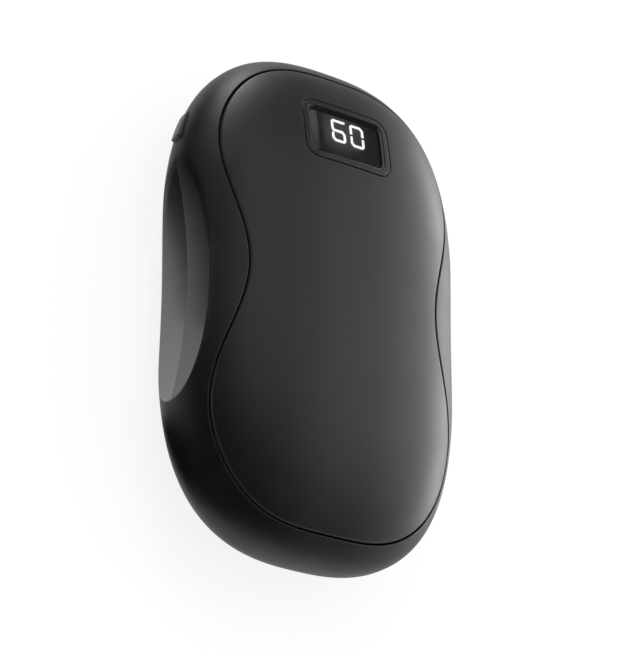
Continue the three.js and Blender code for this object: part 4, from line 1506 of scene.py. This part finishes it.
BEAD = Moulded("dipped_bead", (0.008, 0.008, 0.009), (0.03, 0.03, 0.03), 0.25, coat=0.5)
LENS = Glazed("smoked_sheet", (0.3, 0.302, 0.31))
DIGIT = Lit("lit_guide", 3.5)
FACE = Face("readout_film")
STEEL = Metal("plated_steel", (0.56, 0.57, 0.58), (0.34, 0.345, 0.35))
GOLD = Metal("gilt_contact", (0.8, 0.6, 0.3), (0.55, 0.4, 0.2), 0.2)
POUCH = Foil("laminated_foil", (0.5, 0.52, 0.54))
BOARD = Board("solder_mask", (0.012, 0.085, 0.03), (0.02, 0.14, 0.05), (0.62, 0.62, 0.6))
FILM = Film("heating_film", (0.44, 0.15, 0.022), (0.3, 0.1, 0.03))
FOAM = Foam("closed_cell_foam", (0.018, 0.018, 0.02))

KEPT_NODES = {
    FACE: ("display_module",),
    BOARD: ("display_board", "main_board", "cell_guard_board"),
    FILM: ("display_ribbon", "front_heater_film", "back_heater_film"),
    HOUSING: ("button_switch",),
    KEY: ("switch_plunger",),
    CHIP: ("charger_chip", "controller_chip"),
    FERRITE: ("power_coil",),
    CREAM: ("battery_socket",),
    POUCH: ("battery_cell",),
    FOAM: ("battery_foam_front", "battery_foam_back"),
    RED: ("battery_lead_red",),
    BLACK: ("battery_lead_black",),
    WHITE: ("front_heater_lead_a", "front_heater_lead_b", "back_heater_lead_a", "back_heater_lead_b"),
    BEAD: ("front_thermistor", "back_thermistor"),
    STEEL: ("case_screw_1", "case_screw_2", "case_screw_3", "case_screw_4"),
}


@dataclass
class Body:
    """The whole hand warmer, as its outer pieces and the CAD nodes that it keeps."""

    window_y: float = 32.34
    window_step: float = 0.25
    button_x: float = -28.408
    button_y: float = 31.4
    button_drop: float = 2.0
    button_out: Triple = (-0.95554, 0.294862, 0.0)
    button_along: Triple = (-0.294862, -0.95554, 0.0)
    notch: Triple = (3.05, 3.97, 1.15)
    port: Triple = (4.77, 1.93, 1.9)
    mouth_y: float = 49.0

    def window_place(self) -> Place:
        """The display's frame: on the dome, tilted as the dome is there.

        Returns:
            The frame.
        """
        ends = self.window_y + self.window_step * np.array([-1.0, 0.0, 1.0])
        low, middle, high = PEBBLE.height(np.stack([np.zeros(3), ends], axis=1))
        tilt = math.atan((high - low) / (2 * self.window_step))
        up = (0.0, math.cos(tilt), math.sin(tilt))
        return Place((0.0, self.window_y, float(middle)), (1.0, 0.0, 0.0), up, (0.0, -up[2], up[1]))

    def key_place(self, rise: float) -> Place:
        """The power button's frame, at a height from the parting plane."""
        middle = (self.button_x, self.button_y, rise)
        return Place(middle, self.button_along, (0.0, 0.0, 1.0), self.button_out)

    def port_place(self, y: float) -> Place:
        """The charging socket's frame."""
        return Place((0.0, y, 0.0), (-1.0, 0.0, 0.0), (0.0, 0.0, 1.0), (0.0, 1.0, 0.0))

    def build_case(self) -> None:
        """Builds both shells and both panels."""
        port = Opening(self.port_place(PEBBLE.half_length), notch_outline(*self.port), block_half=8.0,
                       block_height=4.5, edge_radius=0.25)
        notch = Opening(self.key_place(0.0), notch_outline(*self.notch), block_half=6.3, block_height=6.6,
                        edge_radius=0.15)
        Shell(Side.FRONT, "front_shell", FRONT_SHELL, [port]).build()
        Shell(Side.BACK, "back_shell", BACK_SHELL, [port, notch]).build()
        Panel(Side.FRONT, "front_panel", self.window_place()).build()
        Panel(Side.BACK, "back_panel").build()

    def build_fittings(self) -> None:
        """Builds the display, the power button and the charging socket."""
        display = Display(self.window_place())
        display.build_ring()
        display.build_lens()
        display.build_digits()
        PowerKey(self.key_place(-self.button_drop)).build()
        socket = ChargingSocket(self.port_place(self.mouth_y))
        socket.build_can()
        socket.build_tongue()
        socket.build_contacts()

    def dress_nodes(self, nodes: dict) -> None:
        """Dresses the CAD nodes that stay."""
        for finish, names in KEPT_NODES.items():
            for name in names:
                finish.dress(nodes[name])
                log.info("%s: kept, in %s", name, finish.name)


@dataclass(frozen=True)
class Lamp:
    """A soft lamp, placed by the direction that it shines from and the angles that it spans, in degrees."""

    name: str
    bearing: float
    elevation: float
    width: float
    height: float
    level: float
    distance: float = 0.6

    def span(self, angle: float) -> float:
        """The width that spans an angle in degrees at the lamp's distance."""
        return 2 * self.distance * math.tan(math.radians(angle) / 2)

    def hang(self) -> None:
        """Hangs the lamp so that it faces the object, with its level as the brightness of its face."""
        bearing, elevation = math.radians(self.bearing), math.radians(self.elevation)
        way = Vector((math.cos(bearing) * math.cos(elevation), math.sin(bearing) * math.cos(elevation),
                      math.sin(elevation)))
        data = bpy.data.lights.new(self.name, "AREA")
        data.shape = "RECTANGLE"
        data.size, data.size_y = self.span(self.width), self.span(self.height)
        data.energy = self.level * math.pi * data.size * data.size_y
        turn = way.to_track_quat("Z", "Y").to_matrix().to_4x4()
        add_object(self.name, data).matrix_world = Matrix.Translation(way * self.distance) @ turn


@dataclass
class Studio:
    """A white floor, soft lamps, a black curtain and the camera."""

    camera_place: Triple = (-0.30444, -0.22360, 0.43986)
    camera_axes: tuple[Triple, Triple, Triple] = (
        (0.8114, 0.0066, 0.5845), (-0.2324, 0.9211, 0.3122), (-0.5363, -0.3892, 0.7489))
    lens: float = 168.2
    sensor: float = 36.0
    floor_half: float = 3.0
    floor_colour: Triple = (0.9, 0.9, 0.9)
    floor_glow: float = 0.84
    world_level: float = 1.0
    cloth_colour: Triple = (0.004, 0.004, 0.004)
    curtain_radius: float = 1.0
    curtain_reach: float = 128.0
    curtain_rings: int = 25
    curtain_columns: int = 49
    cards: tuple[tuple[Pair, ...], ...] = (
        ((-0.5, -0.5), (-0.022, -0.5), (-0.028, -0.024), (-0.5, -0.024)),
        ((-0.5, 0.0), (-0.036, 0.0), (-0.036, 0.3), (-0.5, 0.3)),
    )
    card_rise: float = 0.0003
    lamps: tuple[Lamp, ...] = (
        Lamp("right_softbox", 16.0, 3.0, 45.0, 7.5, 21.0),
        Lamp("end_softbox", 101.0, 11.0, 23.0, 22.0, 11.0),
        Lamp("upper_softbox", 20.0, 47.0, 36.0, 18.0, 2.5),
        Lamp("top_softbox", 90.0, 65.0, 26.0, 18.0, 2.6),
    )

    def place_camera(self) -> None:
        """Sets the camera where the photograph was taken from."""
        data = bpy.data.cameras.new("camera")
        data.sensor_fit = "VERTICAL"
        data.sensor_width = self.sensor
        data.sensor_height = self.sensor
        data.lens = self.lens
        camera = add_object("camera", data)
        turn = Matrix(self.camera_axes).transposed().to_4x4()
        camera.matrix_world = Matrix.Translation(self.camera_place) @ turn
        bpy.context.scene.camera = camera

    def lay_sheet(self, name: str, points: Array, faces: Array, material: bpy.types.Material) -> Piece:
        """Adds a staged sheet round the object.

        Args:
            name: Its name.
            points: Its points, in metres.
            faces: The corners of each face.
            material: Its material.

        Returns:
            The sheet.
        """
        sheet = add_mesh(name, points, faces)
        sheet.data.materials.append(material)
        return sheet

    def lay_floor(self) -> None:
        """Lays the floor: pale, with a share of glow that keeps it white and the object's shadow faint."""
        weave = Weave("pale_floor")
        matt = weave.node("ShaderNodeBsdfDiffuse", sockets={"Color": (*self.floor_colour, 1.0)})
        glow = weave.node("ShaderNodeEmission", sockets={"Color": (1.0, 1.0, 1.0, 1.0), "Strength": 1.0})
        camera, glossy, clear = [weave.node("ShaderNodeLightPath", output=name) for name in
                                 ("Is Camera Ray", "Is Glossy Ray", "Is Transmission Ray")]
        share = (camera * self.floor_glow + glossy + clear).smaller(1.0)
        mix = weave.node("ShaderNodeMixShader", sockets={0: share, 1: matt, 2: glow})
        corners = self.floor_half * np.array([(-1, -1, 0), (1, -1, 0), (1, 1, 0), (-1, 1, 0)])
        self.lay_sheet("studio_floor", corners, np.array([[0, 1, 2, 3]]), weave.show(mix))

    def set_world(self) -> None:
        """Sets a plain white surround."""
        world = bpy.data.worlds.new("studio")
        world.use_nodes = True
        bpy.context.scene.world = world
        surround = world.node_tree.nodes["Background"]
        surround.inputs["Color"].default_value = (1.0, 1.0, 1.0, 1.0)
        surround.inputs["Strength"].default_value = self.world_level

    def hang_curtain(self) -> None:
        """Hangs a black curtain round the left side and lays two black cards on the floor there.

        They only darken what the object reflects. The curtain is a part of a sphere: rings of points round
        the -X axis, out to the curtain's reach.
        """
        polars = np.radians(np.linspace(0.0, self.curtain_reach, self.curtain_rings))
        turns = np.linspace(0.0, 2 * np.pi, self.curtain_columns)
        tilt, turn = np.meshgrid(polars, turns, indexing="ij")
        points = self.curtain_radius * np.stack([-np.cos(tilt), *polar(np.sin(tilt), turn)], axis=-1)
        quads = quads_of(np.arange(tilt.size).reshape(tilt.shape))
        sheets = {"black_curtain": (points.reshape(-1, 3), quads.reshape(-1, 4))}
        for number, card in enumerate(self.cards, 1):
            corners = np.array([(*corner, self.card_rise) for corner in card])
            sheets[f"black_card_{number}"] = (corners, np.array([[0, 1, 2, 3]]))
        weave = Weave("black_cloth")
        cloth = weave.show(weave.node("ShaderNodeBsdfDiffuse", sockets={"Color": (*self.cloth_colour, 1.0)}))
        for name, shape in sheets.items():
            sheet = self.lay_sheet(name, *shape, cloth)
            sheet.visible_camera = False
            sheet.visible_diffuse = False
            sheet.visible_shadow = False

    def build(self) -> None:
        """Sets up everything round the object."""
        self.place_camera()
        self.lay_floor()
        self.set_world()
        self.hang_curtain()
        for lamp in self.lamps:
            lamp.hang()
        bpy.context.scene.view_settings.view_transform = "Standard"


def main() -> None:
    """Builds the pieces in order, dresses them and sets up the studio."""
    logging.basicConfig(level=logging.INFO, format="%(name)s: %(message)s")
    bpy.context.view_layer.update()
    body = Body()
    body.build_case()
    body.build_fittings()
    body.dress_nodes(frame["nodes"])
    Studio().build()


if __name__ == "__main__":
    main()
